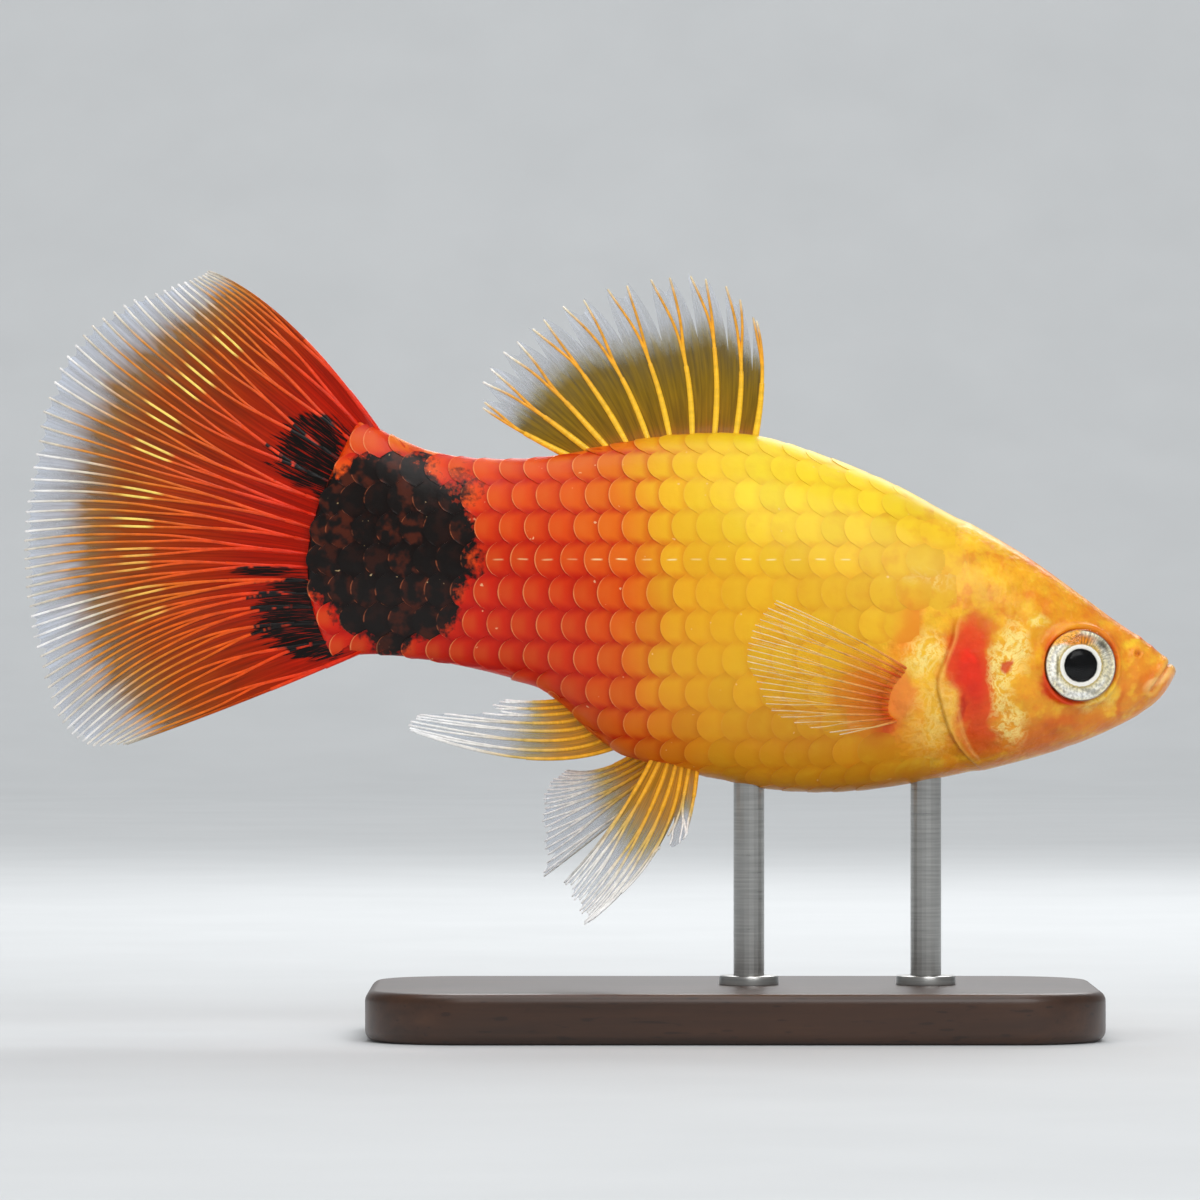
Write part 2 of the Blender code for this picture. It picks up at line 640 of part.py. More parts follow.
def build_fins():
    caudal = fin_surface(rooted_on_stalk(CAUDAL_GUIDES), flat_wave(*CAUDAL_WAVE))
    fin("caudal_fin", caudal, red_web)
    dorsal = fin_surface(rooted_on_back(DORSAL_GUIDES), flat_wave(*DORSAL_WAVE))
    fin("dorsal_fin", dorsal, yellow_web)
    anal = fin_surface(rooted_on_belly(ANAL_GUIDES, 0.0), flat_wave(0.0, 1.0))
    fin("anal_fin", anal, clear_web)
    right = fin_surface(rooted_on_belly(PELVIC_RIGHT_GUIDES, PELVIC_ROOT_SIDE), pelvic_side(-1))
    fin("pelvic_fin_right", right, clear_web, PELVIC_NOTCH)
    left = fin_surface(rooted_on_belly(PELVIC_LEFT_GUIDES, PELVIC_ROOT_SIDE), pelvic_side(1))
    fin("pelvic_fin_left", left, clear_web)
    for side, word in ((-1, "right"), (1, "left")):
        surface = fin_surface(PECTORAL_GUIDES, pectoral_side(side))
        fin(f"pectoral_fin_{word}", surface, clear_web)


def cylinder(name, x, bottom, top, radius, finish):
    """An upright round bar on the fish's middle plane."""
    points, faces = [], []
    for i in range(ROD_SIDES):
        turn = 2 * math.pi * i / ROD_SIDES
        rim = (x + radius * math.cos(turn), radius * math.sin(turn))
        points += [(*rim, bottom), (*rim, top)]
    for i in range(ROD_SIDES):
        j = (i + 1) % ROD_SIDES
        faces.append((2 * i, 2 * j, 2 * j + 1, 2 * i + 1))
    faces.append(tuple(range(0, 2 * ROD_SIDES, 2)))
    faces.append(tuple(range(1, 2 * ROD_SIDES, 2)))
    return add_object(name, points, faces, finish, 30)


def build_stand():
    length, width, height = BASE_SIZE
    corners, steps = [], 6
    for corner, (sx, sy) in enumerate(((1, 1), (-1, 1), (-1, -1), (1, -1))):
        for step in range(steps + 1):
            turn = math.pi / 2 * (corner + step / steps)
            x = BASE_CENTRE + sx * (length / 2 - BASE_CORNER) + BASE_CORNER * math.cos(turn)
            y = sy * (width / 2 - BASE_CORNER) + BASE_CORNER * math.sin(turn)
            corners.append((x, y))
    count = len(corners)
    points = [(x, y, z) for z in (0.0, height) for x, y in corners]
    faces = [(i, (i + 1) % count, count + (i + 1) % count, count + i) for i in range(count)]
    faces += [tuple(range(count)), tuple(range(count, 2 * count))]
    base = add_object("stand_base", points, faces, stained_beech, 30)
    rounding = base.modifiers.new("rounded edges", "BEVEL")
    rounding.width = BASE_BEVEL * MM
    rounding.segments = 2
    rounding.limit_method = "ANGLE"
    rounding.angle_limit = math.radians(60)
    hole_floor = height - ROD_SOCKET_DEPTH
    for word, back in zip(("front", "rear"), ROD_BACKS):
        top = SNOUT_HEIGHT + float(belly_up(back)) + ROD_IN_BELLY - GAP
        bore = rod_bore(f"base_bore_{word}", back, hole_floor, height + BORE_CLEAR, stained_beech)
        boolean(base, "DIFFERENCE", bore)
        x = TOTAL_LENGTH / 2 - back
        cylinder(f"stand_rod_{word}", x, hole_floor + GAP, top, ROD_RADIUS, brushed_steel)


build_head(build_body())
build_fins()
build_stand()
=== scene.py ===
import math
import random

import bpy
import numpy as np
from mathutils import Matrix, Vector


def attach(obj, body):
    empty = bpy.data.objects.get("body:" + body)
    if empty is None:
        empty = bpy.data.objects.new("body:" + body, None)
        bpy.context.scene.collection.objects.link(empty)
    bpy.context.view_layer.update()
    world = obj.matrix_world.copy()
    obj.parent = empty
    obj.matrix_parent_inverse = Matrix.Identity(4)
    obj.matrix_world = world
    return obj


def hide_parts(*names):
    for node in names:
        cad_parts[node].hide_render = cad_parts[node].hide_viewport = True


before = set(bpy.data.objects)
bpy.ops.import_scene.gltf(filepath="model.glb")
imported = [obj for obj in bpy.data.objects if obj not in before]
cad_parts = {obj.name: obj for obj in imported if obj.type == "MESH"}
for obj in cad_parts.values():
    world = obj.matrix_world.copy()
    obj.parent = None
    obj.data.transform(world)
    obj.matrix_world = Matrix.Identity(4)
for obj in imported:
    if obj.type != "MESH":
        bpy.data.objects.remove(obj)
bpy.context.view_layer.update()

# Places on the fish are (back, up) in millimetres: behind the snout's tip, and above it.
# A side of -1 is the fish's right, which faces the camera, and +1 is its left.
mm = 0.001
rightSide, leftSide = -1, 1

body = {
    "length": 60.0,
    "snoutHeight": 19.0,
    "backLine": [
        (0.0, -0.12), (0.14, 0.12), (0.4, 0.44), (0.8, 0.86), (1.6, 1.5), (2.9, 2.4), (5.5, 4.3),
        (8.1, 6.12), (12.0, 8.34), (15.9, 10.3), (19.0, 11.45), (21.4, 12.2), (24.2, 12.42),
        (28.0, 12.02), (32.6, 11.2), (36.6, 11.1), (39.3, 11.65), (41.9, 12.9), (45.4, 15.6),
    ],
    "bellyLine": [
        (0.0, -0.2), (0.14, -0.52), (0.4, -0.98), (0.8, -1.5), (1.6, -2.18), (2.9, -2.92),
        (5.5, -4.02), (8.1, -4.8), (12.0, -5.72), (15.9, -6.34), (18.5, -6.48), (22.4, -6.12),
        (26.3, -5.24), (29.0, -4.4), (30.8, -3.0), (32.4, -1.5), (34.1, -0.72), (37.5, 0.12),
        (40.6, 0.62), (42.8, 0.7), (45.4, 0.3),
    ],
    "halfWidth": [
        (0.0, 0.1), (0.14, 0.72), (0.4, 1.12), (1.0, 1.5), (2.0, 1.95), (3.5, 2.5), (5.1, 2.98),
        (8.0, 3.7), (12.0, 4.35), (16.0, 4.6), (20.0, 4.55), (25.0, 4.1), (29.0, 3.4),
        (33.0, 2.6), (37.0, 1.95), (41.0, 1.35), (43.5, 0.92), (45.4, 0.7),
    ],
    # how square the section is above and below its widest line, where 2 is an ellipse
    "squareAbove": [(0.0, 2.2), (3.0, 2.7), (7.0, 2.6), (12.0, 2.2), (20.0, 2.0), (45.4, 2.0)],
    "squareBelow": [(0.0, 2.0), (4.0, 2.1), (12.0, 2.2), (20.0, 2.3), (32.0, 2.1), (45.4, 2.0)],
    # rear edge of the gill cover, and where scales give way to the tail's rays: (up, back)
    "coverEdge": [
        (-5.9, 9.0), (-4.7, 10.75), (-4.13, 11.3), (-3.3, 11.8), (-2.3, 12.15), (-1.4, 12.4),
        (-0.7, 12.5), (0.1, 12.3), (0.9, 12.0), (1.75, 11.7), (2.4, 11.6), (3.2, 11.2),
        (5.0, 10.9), (8.2, 10.4),
    ],
    "stalkEnd": [(0.2, 43.0), (2.5, 44.1), (5.6, 44.7), (9.0, 43.9), (11.4, 42.7), (13.3, 41.7)],
}

skin = {
    "around": 256,
    "headRings": 190,
    "trunkRings": 165,
    "firstRing": 0.004,  # behind the snout's tip
    "gather": (1.08, 1.25),  # how closely rings gather before and behind the gill cover's edge
    "headDepth": 0.03,  # how far the skin lies inside the solid, on the head and under the scales
    "scaleDepth": 0.12,
    "tongueLength": 0.55,  # the stalk runs on between the tail fin's rays, thinning
    "tongueFlare": 0.06,
    "tongueRings": 10,
    "eyePlace": (5.13, 0.22),
    "socketRadius": 1.86,
    "socketSlope": 0.28,
    "socketDepth": 0.85,
    "nostril": (2.05, 0.83),
    "mouthSlit": ((0.33, 0.34), (1.35, -1.1)),
    "jawLine": ((1.3, -1.0), (2.3, -2.3)),
    # ridges and grooves by how far they lie from these: (height, distance, width)
    "lips": [(0.08, 0.3, 0.2), (-0.14, 0.0, 0.06)],
    "jawFold": [(-0.03, 0.0, 0.14)],
    "eyeRim": [(0.2, 2.02, 0.17), (-0.07, 2.6, 0.35)],
    "nostrilRim": [(0.05, 0.24, 0.1), (-0.2, 0.0, 0.13)],
    "cheekGroove": [(-0.02, 3.55, 0.14)],
    "coverLip": [(0.03, -0.22, 0.2)],
    "coverFold": [(-0.03, -0.72, 0.12)],
    # mounds: middle, half sizes, height
    "cheek": ((7.6, -1.8), (1.4, 1.8), 0.1),
    "cover": ((10.8, -0.9), (1.7, 2.7), 0.16),
    "shoulder": ((14.7, -1.4), (0.8, 1.7), 0.16),
    "browMounds": [((1.95, 1.62), (0.24, 0.24), 0.06), ((1.3, 1.12), (0.2, 0.2), 0.05)],
    "cheekStart": (3.0, 4.0),
    "grooveOval": ((4.6, 0.2), (1.0, 1.25), 2.5),  # middle, proportions, and the height where it ends
    "coverStep": 0.15,  # the skin behind the gill cover lies this much deeper, rising again over coverRise
    "coverRise": 1.5,
    "stepWidth": 0.09,
    "opening": ((3.2, 1.8), (-5.3, -4.2)),  # heights where the gill opening fades out
    "foldSlant": (0.1, -3.5),
    "foldTop": (-1.2, -2.4),
    # colour marks on the same features, with their own strengths and widths
    "openingMarks": ((3.0, 1.8), (-5.2, -4.2)),
    "foldMarkTop": (-1.5, -2.4),
    # the creases are painted shade in the mouth slit, the nostrils and the gill opening
    "creaseShades": {"slit": (0.25, 0.0, 0.06), "nostril": (0.5, 0.0, 0.11), "cover": (0.22, 0.08, 0.09)},
    "paleLines": {"cover": (0.4, -0.1, 0.1), "slit": (0.45, 0.2, 0.12), "fold": (0.35, -0.6, 0.1)},
}


def spline(points):
    # a smooth curve through (place, value) pairs, as a function of the place
    places, values = (np.array(row, float) for row in zip(*points))
    steps = np.diff(places)
    rises = np.diff(values) / steps
    count = len(places)
    system = np.eye(count)
    target = np.zeros(count)
    for i in range(1, count - 1):
        system[i, i - 1 : i + 2] = steps[i], 2 * (steps[i - 1] + steps[i]), steps[i - 1]
        target[i] = 3 * (steps[i] * rises[i - 1] + steps[i - 1] * rises[i])
    system[0, :2] = 2, 1
    system[-1, -2:] = 1, 2
    target[0], target[-1] = 3 * rises[0], 3 * rises[-1]
    slopes = np.linalg.solve(system, target)

    def at(place):
        place = np.clip(np.asarray(place, float), places[0], places[-1])
        i = np.clip(np.searchsorted(places, place) - 1, 0, count - 2)
        t = (place - places[i]) / steps[i]
        return (
            values[i] * (1 + 2 * t) * (1 - t) ** 2
            + slopes[i] * steps[i] * t * (1 - t) ** 2
            + values[i + 1] * t * t * (3 - 2 * t)
            + slopes[i + 1] * steps[i] * t * t * (t - 1)
        )

    return at


def alongBody(points):
    # a spline over the square root of the distance behind the snout, so that the snout is round
    rooted = spline([(math.sqrt(back), value) for back, value in points])
    return lambda back: rooted(np.sqrt(np.maximum(back, 0)))


backUp = alongBody(body["backLine"])
bellyUp = alongBody(body["bellyLine"])
halfWidth = alongBody(body["halfWidth"])
squareAbove = alongBody(body["squareAbove"])
squareBelow = alongBody(body["squareBelow"])
coverEdge = spline(body["coverEdge"])
stalkEnd = spline(body["stalkEnd"])


def place(back, up, side=0.0):
    return np.stack(
        np.broadcast_arrays(
            body["length"] / 2 - np.asarray(back, float),
            np.asarray(side, float),
            body["snoutHeight"] + np.asarray(up, float),
        ),
        axis=-1,
    )


def bump(distance, width):
    return np.exp(-((distance / width) ** 2))


def smoothStep(value, start, end):
    t = np.clip((np.asarray(value, float) - start) / (end - start), 0, 1)
    return t * t * (3 - 2 * t)


def ridges(distance, rows):
    # rows of (height, distance, width)
    return sum(height * bump(distance - at, width) for height, at, width in rows)


def ovalDistance(back, up, middle, proportions=(1.0, 1.0)):
    return np.hypot((back - middle[0]) / proportions[0], (up - middle[1]) / proportions[1])


def mound(back, up, middle, halfSizes, height):
    return height * bump(ovalDistance(back, up, middle, halfSizes), 1.0)


def openingReach(up, edges):
    # 1 over the height of the gill opening, fading to 0 at its two ends
    top, bottom = edges
    return smoothStep(up, *top) * smoothStep(up, *bottom)


def pastFold(back, up):
    # how far behind the slanting line of the gill cover's lower fold
    slant, middle = skin["foldSlant"]
    return back - coverEdge(up) + slant * (up - middle)


def segmentDistance(back, up, start, end):
    along = (end[0] - start[0], end[1] - start[1])
    t = ((back - start[0]) * along[0] + (up - start[1]) * along[1]) / (along[0] ** 2 + along[1] ** 2)
    t = np.clip(t, 0, 1)
    return np.hypot(back - start[0] - t * along[0], up - start[1] - t * along[1])


def headRelief(back, up):
    # lips, eye rim, nostrils, cheek and gill cover, standing out of the smooth body or cut into it
    relief = ridges(segmentDistance(back, up, *skin["mouthSlit"]), skin["lips"])
    relief += ridges(segmentDistance(back, up, *skin["jawLine"]), skin["jawFold"])
    fromEye = ovalDistance(back, up, skin["eyePlace"])
    relief += ridges(fromEye, skin["eyeRim"])
    rim = skin["socketRadius"]
    relief -= skin["socketDepth"] * (1 - smoothStep(fromEye, rim - skin["socketSlope"], rim))
    relief += ridges(ovalDistance(back, up, skin["nostril"]), skin["nostrilRim"])
    relief += sum(mound(back, up, *values) for values in skin["browMounds"])
    relief += smoothStep(back, *skin["cheekStart"]) * mound(back, up, *skin["cheek"])
    middle, proportions, top = skin["grooveOval"]
    relief += ridges(ovalDistance(back, up, middle, proportions), skin["cheekGroove"]) * (up < top)
    relief += mound(back, up, *skin["cover"])
    reach = openingReach(up, skin["opening"])
    past = back - coverEdge(up)
    relief += ridges(past, skin["coverLip"]) * reach
    fold = ridges(pastFold(back, up), skin["coverFold"])
    relief += fold * smoothStep(up, *skin["foldTop"]) * reach
    behind = mound(back, up, *skin["shoulder"])
    behind -= skin["coverStep"] * reach * bump(np.maximum(past, 0), skin["coverRise"])
    step = smoothStep(past, 0.0, skin["stepWidth"])
    return relief * (1 - step) + behind * step


def smoothPoint(back, turn):
    # turn is 0 at the belly, 0.25 on the right flank, 0.5 at the back
    back, turn = np.broadcast_arrays(np.asarray(back, float), np.asarray(turn, float))
    top, bottom = backUp(back), bellyUp(back)
    side, rise = -np.sin(2 * np.pi * turn), -np.cos(2 * np.pi * turn)
    power = 2 / np.where(rise > 0, squareAbove(back), squareBelow(back))
    out, high = (np.sign(value) * np.abs(value) ** power for value in (side, rise))
    return place(back, (top + bottom) / 2 + (top - bottom) / 2 * high, halfWidth(back) * out)


def bodyNormal(back, turn):
    step = 1e-3
    across = smoothPoint(back, turn + step) - smoothPoint(back, turn - step)
    ahead = smoothPoint(np.maximum(back - step, 0), turn) - smoothPoint(back + step, turn)
    normal = np.cross(ahead, across)
    return normal / np.maximum(np.linalg.norm(normal, axis=-1, keepdims=True), 1e-12)


def bodyPoint(back, turn, lift=0.0):
    point = smoothPoint(back, turn)
    up = point[..., 2] - body["snoutHeight"]
    scaled = smoothStep(back - coverEdge(up), 0, 1)
    depth = skin["headDepth"] + (skin["scaleDepth"] - skin["headDepth"]) * scaled
    height = headRelief(np.asarray(back, float), up) - depth + lift
    return point + bodyNormal(back, turn) * height[..., None]


def turnAt(back, up):
    # the turn where the flank has this height
    turns = np.linspace(0.0, 0.5, 241)
    return float(np.interp(up, smoothPoint(back, turns)[:, 2] - body["snoutHeight"], turns))


def readNumbers(items, key):
    # a whole number from each corner or face of a mesh
    numbers = np.empty(len(items), np.int32)
    items.foreach_get(key, numbers)
    return numbers


def addPiece(name, points, faces, finish, marks=None, sharpAngle=50):
    # a mesh from points in millimetres; marks are named values at each point
    points = np.asarray(points, float)
    mesh = bpy.data.meshes.new(name)
    mesh.from_pydata(points * mm, [], faces)
    mesh.update()
    mesh.materials.append(finish)
    # the first three corners of each face tell whether the faces look outwards
    corners, starts = readNumbers(mesh.loops, "vertex_index"), readNumbers(mesh.polygons, "loop_start")
    a, b, c = (points[corners[starts + i]] - points.mean(axis=0) for i in range(3))
    if np.einsum("ij,ij->i", a, np.cross(b, c)).sum() < 0:
        mesh.flip_normals()
    for label, values in (marks or {}).items():
        values = np.asarray(values, np.float32)
        kind = "FLOAT_VECTOR" if values.ndim == 2 else "FLOAT"
        layer = mesh.attributes.new(label, kind, "POINT")
        layer.data.foreach_set("vector" if values.ndim == 2 else "value", values.ravel())
    mesh.shade_smooth()
    mesh.set_sharp_from_angle(angle=math.radians(sharpAngle))
    piece = bpy.data.objects.new(name, mesh)
    bpy.context.scene.collection.objects.link(piece)
    return piece


def addMap(mesh, places):
    # the map that the colours are baked through: one place for each corner of each face
    layer = mesh.uv_layers.new(name="OFBake")
    layer.data.foreach_set("uv", np.asarray(places, np.float32).ravel())


def gridFaces(rows, columns, closed=False):
    # four-cornered faces of a grid of points, which may close on itself after its last column
    row, column = np.indices((rows - 1, columns if closed else columns - 1))
    a, b = row * columns + column, row * columns + (column + 1) % columns
    return np.stack([a, b, b + columns, a + columns], axis=-1).reshape(-1, 4)


def slabFaces(rows, columns):
    # a closed slab of two alike grids, one after the other, and its rim
    size = rows * columns
    face = gridFaces(rows, columns)
    rim = list(range(columns))
    rim += [row * columns + columns - 1 for row in range(1, rows)]
    rim += [(rows - 1) * columns + column for column in range(columns - 2, -1, -1)]
    rim += [row * columns for row in range(rows - 2, 0, -1)]
    rim = np.array(rim)
    after = np.roll(rim, -1)
    sides = np.stack([after, rim, rim + size, after + size], axis=-1)
    return np.concatenate([face, face[:, ::-1] + size, sides])


smooth = {"interpolation_type": "SMOOTHSTEP"}
allWidths = 1e4  # a mark reaches right through the fish


def hexColour(text):
    # an sRGB hex value as linear light
    values = [int(text[i : i + 2], 16) / 255 for i in (1, 3, 5)]
    return (*[v / 12.92 if v <= 0.04045 else ((v + 0.055) / 1.055) ** 2.4 for v in values], 1)


def fillSockets(node, values):
    # values go to a node's sockets by name, or in order where they come as a list
    shown = [socket for socket in node.inputs if socket.enabled]
    for key, value in values.items() if isinstance(values, dict) else enumerate(values):
        socket = shown[key] if isinstance(key, int) else node.inputs[key]
        if isinstance(value, bpy.types.NodeSocket):
            node.id_data.links.new(value, socket)
        else:
            socket.default_value = hexColour(value) if isinstance(value, str) else value


def addNode(tree, kind, values=(), out=0, **settings):
    # a node with its settings and links; gives one of its outputs
    node = tree.nodes.new("ShaderNode" + kind)
    for key, value in settings.items():
        setattr(node, key, value)
    fillSockets(node, values)
    shown = [socket for socket in node.outputs if socket.enabled]
    return shown[out] if isinstance(out, int) else node.outputs[out]


def setStops(ramp, stops, span=1.0):
    # stops are (place, hex colour or grey), places from 0 to span
    line = ramp.node.color_ramp.elements
    while len(line) < len(stops):
        line.new(0.5)
    for element, (at, value) in zip(line, stops):
        element.position = at / span
        element.color = hexColour(value) if isinstance(value, str) else (value, value, value, 1)
    return ramp


def newFinish(name, surface):
    # a Principled material, and the object space that its patterns are laid out in
    finish = bpy.data.materials.new(name)
    finish.use_nodes = True
    tree = finish.node_tree
    shader = tree.nodes["Principled BSDF"]
    fillSockets(shader, surface)
    return finish, tree, shader, addNode(tree, "TexCoord", out="Object")


def readMarks(tree, names):
    # the marks that a mesh holds at its points
    return [addNode(tree, "Attribute", out="Fac", attribute_name=name) for name in names.split()]


def fishPlaceOf(tree, where):
    # object space in metres to (back, side, up) in millimetres
    return addNode(
        tree, "VectorMath",
        [where, (-1 / mm, 1 / mm, 1 / mm), (body["length"] / 2, 0, -body["snoutHeight"])],
        operation="MULTIPLY_ADD",
    )


def ellipseReach(tree, where, back, up, halfLength, halfHeight, tilt):
    # how far out of an ellipse's middle a place is, with 1 at its edge; the fish's width doesn't count
    local = addNode(
        tree, "Mapping",
        {
            "Vector": where, "Location": (back, 0, up), "Rotation": (0, math.radians(tilt), 0),
            "Scale": (halfLength, allWidths, halfHeight),
        },
        vector_type="TEXTURE",
    )
    return addNode(tree, "VectorMath", [local], operation="LENGTH")


def paintPatches(tree, colour, where, patches):
    # soft ellipses over a colour: (hex, back, up, half length, half height, tilt, softness, strength)
    for paint, *ellipse, softness, strength in patches:
        reach = ellipseReach(tree, where, *ellipse)
        mask = addNode(tree, "MapRange", [reach, 1 - softness, 1 + 0.4 * softness, strength, 0.0], **smooth)
        colour = paintLayers(tree, colour, [(mask, paint)])
    return colour


def paintLayers(tree, colour, layers):
    # colours laid over each other, each with its share of 0 to 1
    for share, paint in layers:
        colour = addNode(tree, "Mix", [share, colour, paint], data_type="RGBA")
    return colour


def softMasks(tree, where, ellipses):
    # the highest of some soft ellipses: (back, up, half length, half height, tilt, softness, strength)
    total = None
    for *ellipse, softness, strength in ellipses:
        reach = ellipseReach(tree, where, *ellipse)
        mask = addNode(tree, "MapRange", [reach, 1 - softness, 1 + softness, strength, 0.0])
        total = mask if total is None else addNode(tree, "Math", [mask, total], operation="MAXIMUM")
    return total


markings = {
    "edges": ((0.35, 2.2), (1.6, 0.55), (5.0, 0.22)),  # cloudy, blotched, ragged: noise per mm, reach
    "span": 46.0,  # the bands' colours are given up to here
    "backFade": (4.0, 9.5),  # up from the first height the flank turns to the shoulder's colour
    "bellyFade": (0.5, -4.5),
    "mottledSpans": ((10.0, 18.0, 1.0, 0.25), (20.0, 27.0, 1.0, 0.0)),
    "mottleScale": 0.95,
    "mottleStrength": 0.5,
    "mottling": ((0.52, 0.68, "#F8CC38"), (0.48, 0.34, "#DC6A1C")),
    "shoulder": [
        (0.0, "#E2852A"), (4.0, "#E99A24"), (9.0, "#F2B822"), (14.0, "#F7D024"), (22.0, "#F8D422"),
        (26.6, "#F3B41C"), (28.8, "#E8700E"), (32.0, "#DE4C0A"), (37.0, "#DE3C06"), (44.0, "#E24408"),
    ],
    "flank": [
        (0.0, "#E58A2C"), (5.0, "#E8961E"), (9.0, "#EBA822"), (14.0, "#EFB624"), (21.0, "#EFB31F"),
        (26.5, "#EAA01C"), (28.6, "#E0580C"), (31.2, "#D63206"), (36.0, "#CC1E02"), (44.0, "#CC1C00"),
    ],
    "belly": [
        (0.0, "#E08A2C"), (5.0, "#DE8820"), (10.0, "#DC881C"), (15.0, "#E2941A"), (24.0, "#E4961A"),
        (27.6, "#E06C12"), (31.4, "#D84608"), (36.0, "#CE3004"), (40.0, "#D03204"), (44.0, "#D43A06"),
    ],
    "patches": [
        ("#F6CE34", 2.7, 1.43, 0.55, 0.3, 20, 0.8, 0.7),
        ("#F6C636", 4.0, -1.75, 1.0, 0.32, 28, 0.8, 0.7),
        ("#F4C234", 3.3, -1.27, 0.3, 0.35, 0, 0.8, 0.6),
        ("#F7D040", 7.3, 2.4, 0.7, 0.35, 25, 0.7, 0.8),
        ("#D8701A", 1.72, -0.8, 0.36, 0.8, -20, 0.6, 0.75),
        ("#D86A18", 2.9, -1.74, 0.25, 0.7, -15, 0.7, 0.7),
        ("#F2AE66", 0.3, -0.15, 0.75, 0.75, 0, 0.7, 0.85),
        ("#F4BC7C", 1.05, -0.62, 0.22, 0.75, -38, 0.7, 0.8),
        ("#D84A1A", 1.9, 1.66, 0.3, 0.2, -38, 0.7, 0.8),
        ("#D84A1A", 1.3, 1.2, 0.3, 0.22, -40, 0.7, 0.8),
        ("#CE560E", 6.6, -3.1, 1.9, 0.7, 18, 0.9, 0.8),
        ("#E0701C", 8.9, -3.6, 2.3, 1.1, 18, 0.7, 0.6),
        ("#D8300A", 5.42, -0.05, 2.1, 2.2, 0, 0.16, 0.92),
        ("#E06018", 5.3, 1.3, 2.2, 1.25, 0, 0.35, 0.5),
        ("#D85A18", 10.6, 1.9, 1.05, 1.1, 12, 0.6, 0.85),
        ("#D0521A", 10.2, -3.5, 1.3, 1.2, -30, 0.8, 0.85),
        ("#DC4A10", 10.8, -0.75, 1.55, 3.35, 10, 0.3, 0.95),
        ("#DC2408", 11.0, -0.3, 1.15, 2.1, 10, 0.7, 0.9),
        ("#F02C0C", 11.1, 0.6, 0.4, 0.4, 0, 0.7, 0.8),
        ("#B81604", 11.6, -1.85, 0.2, 0.6, -10, 0.7, 0.7),
        ("#E88A34", 12.5, -1.2, 0.2, 2.4, 0, 0.9, 0.7),
        ("#DE7E2A", 11.6, -3.3, 0.4, 1.0, -28, 0.7, 0.7),
        ("#F4C434", 13.2, 0.5, 0.9, 1.2, 20, 0.7, 0.6),
        ("#EDB838", 12.9, -2.4, 1.1, 2.2, 0, 0.7, 0.6),
        ("#EF8420", 14.3, 1.9, 0.85, 1.9, -12, 0.7, 0.75),
        ("#E07020", 15.2, -2.2, 1.5, 1.6, 0, 0.9, 0.6),
        ("#D8400F", 15.1, -3.2, 0.55, 0.6, 20, 0.8, 0.8),
        ("#E88430", 14.5, -1.35, 0.75, 1.6, -8, 0.5, 0.85),
        ("#E25A18", 16.6, -1.2, 1.7, 1.7, 0, 0.9, 0.6),
        ("#EE9A20", 12.9, 4.7, 1.2, 0.5, 0, 0.8, 0.5),
        ("#F28A1E", 35.6, 11.35, 4.6, 0.5, 0, 0.9, 0.85),
        ("#F28A1E", 40.8, 12.5, 2.4, 0.55, -27, 0.9, 0.85),
        ("#DE5A12", 7.6, 6.0, 6.0, 0.3, -35, 0.9, 0.3),
    ],
    # white-gold glitter of the gill region
    "glitter": [
        (8.95, 0.4, 0.85, 1.9, -6, 0.35, 1.0), (8.85, -2.2, 0.65, 1.5, 4, 0.4, 0.85),
        (13.2, 0.9, 0.95, 0.8, 35, 0.6, 0.9), (13.0, -2.4, 0.8, 1.7, 0, 0.9, 0.5),
        (13.1, 4.75, 0.9, 0.4, 0, 0.8, 0.6), (7.3, 2.4, 0.5, 0.3, 25, 0.7, 0.9),
        (4.2, -1.9, 0.8, 0.22, 28, 0.8, 0.6),
    ],
    "gilt": "#EDB430",
    "strand": "#FBE48C",
    "redMark": ("#D0401A", 8.75, 0.3, 0.34, 0.42, 20, 0.4, 0.9),
    "spotColour": "#120C0A",
    "spots": [
        (40.55, 5.9, 4.05, 4.9, 0, 0.12, 1.0), (40.9, 8.4, 3.2, 3.0, 0, 0.15, 1.0),
        (43.6, 7.0, 1.7, 3.4, 0, 0.2, 1.0),
        (37.3, 9.6, 1.0, 0.8, 20, 0.9, 0.7),
    ],
    "finSpots": [
        (45.0, 11.4, 1.75, 2.0, -25, 0.18, 1.0), (43.7, 9.9, 1.3, 1.3, 0, 0.3, 0.9),
        (45.9, 2.9, 2.0, 1.95, 25, 0.2, 1.0), (44.6, 1.7, 1.6, 1.2, 25, 0.25, 1.0),
        (47.3, 5.1, 1.5, 0.28, 0, 0.5, 0.9),
    ],
}


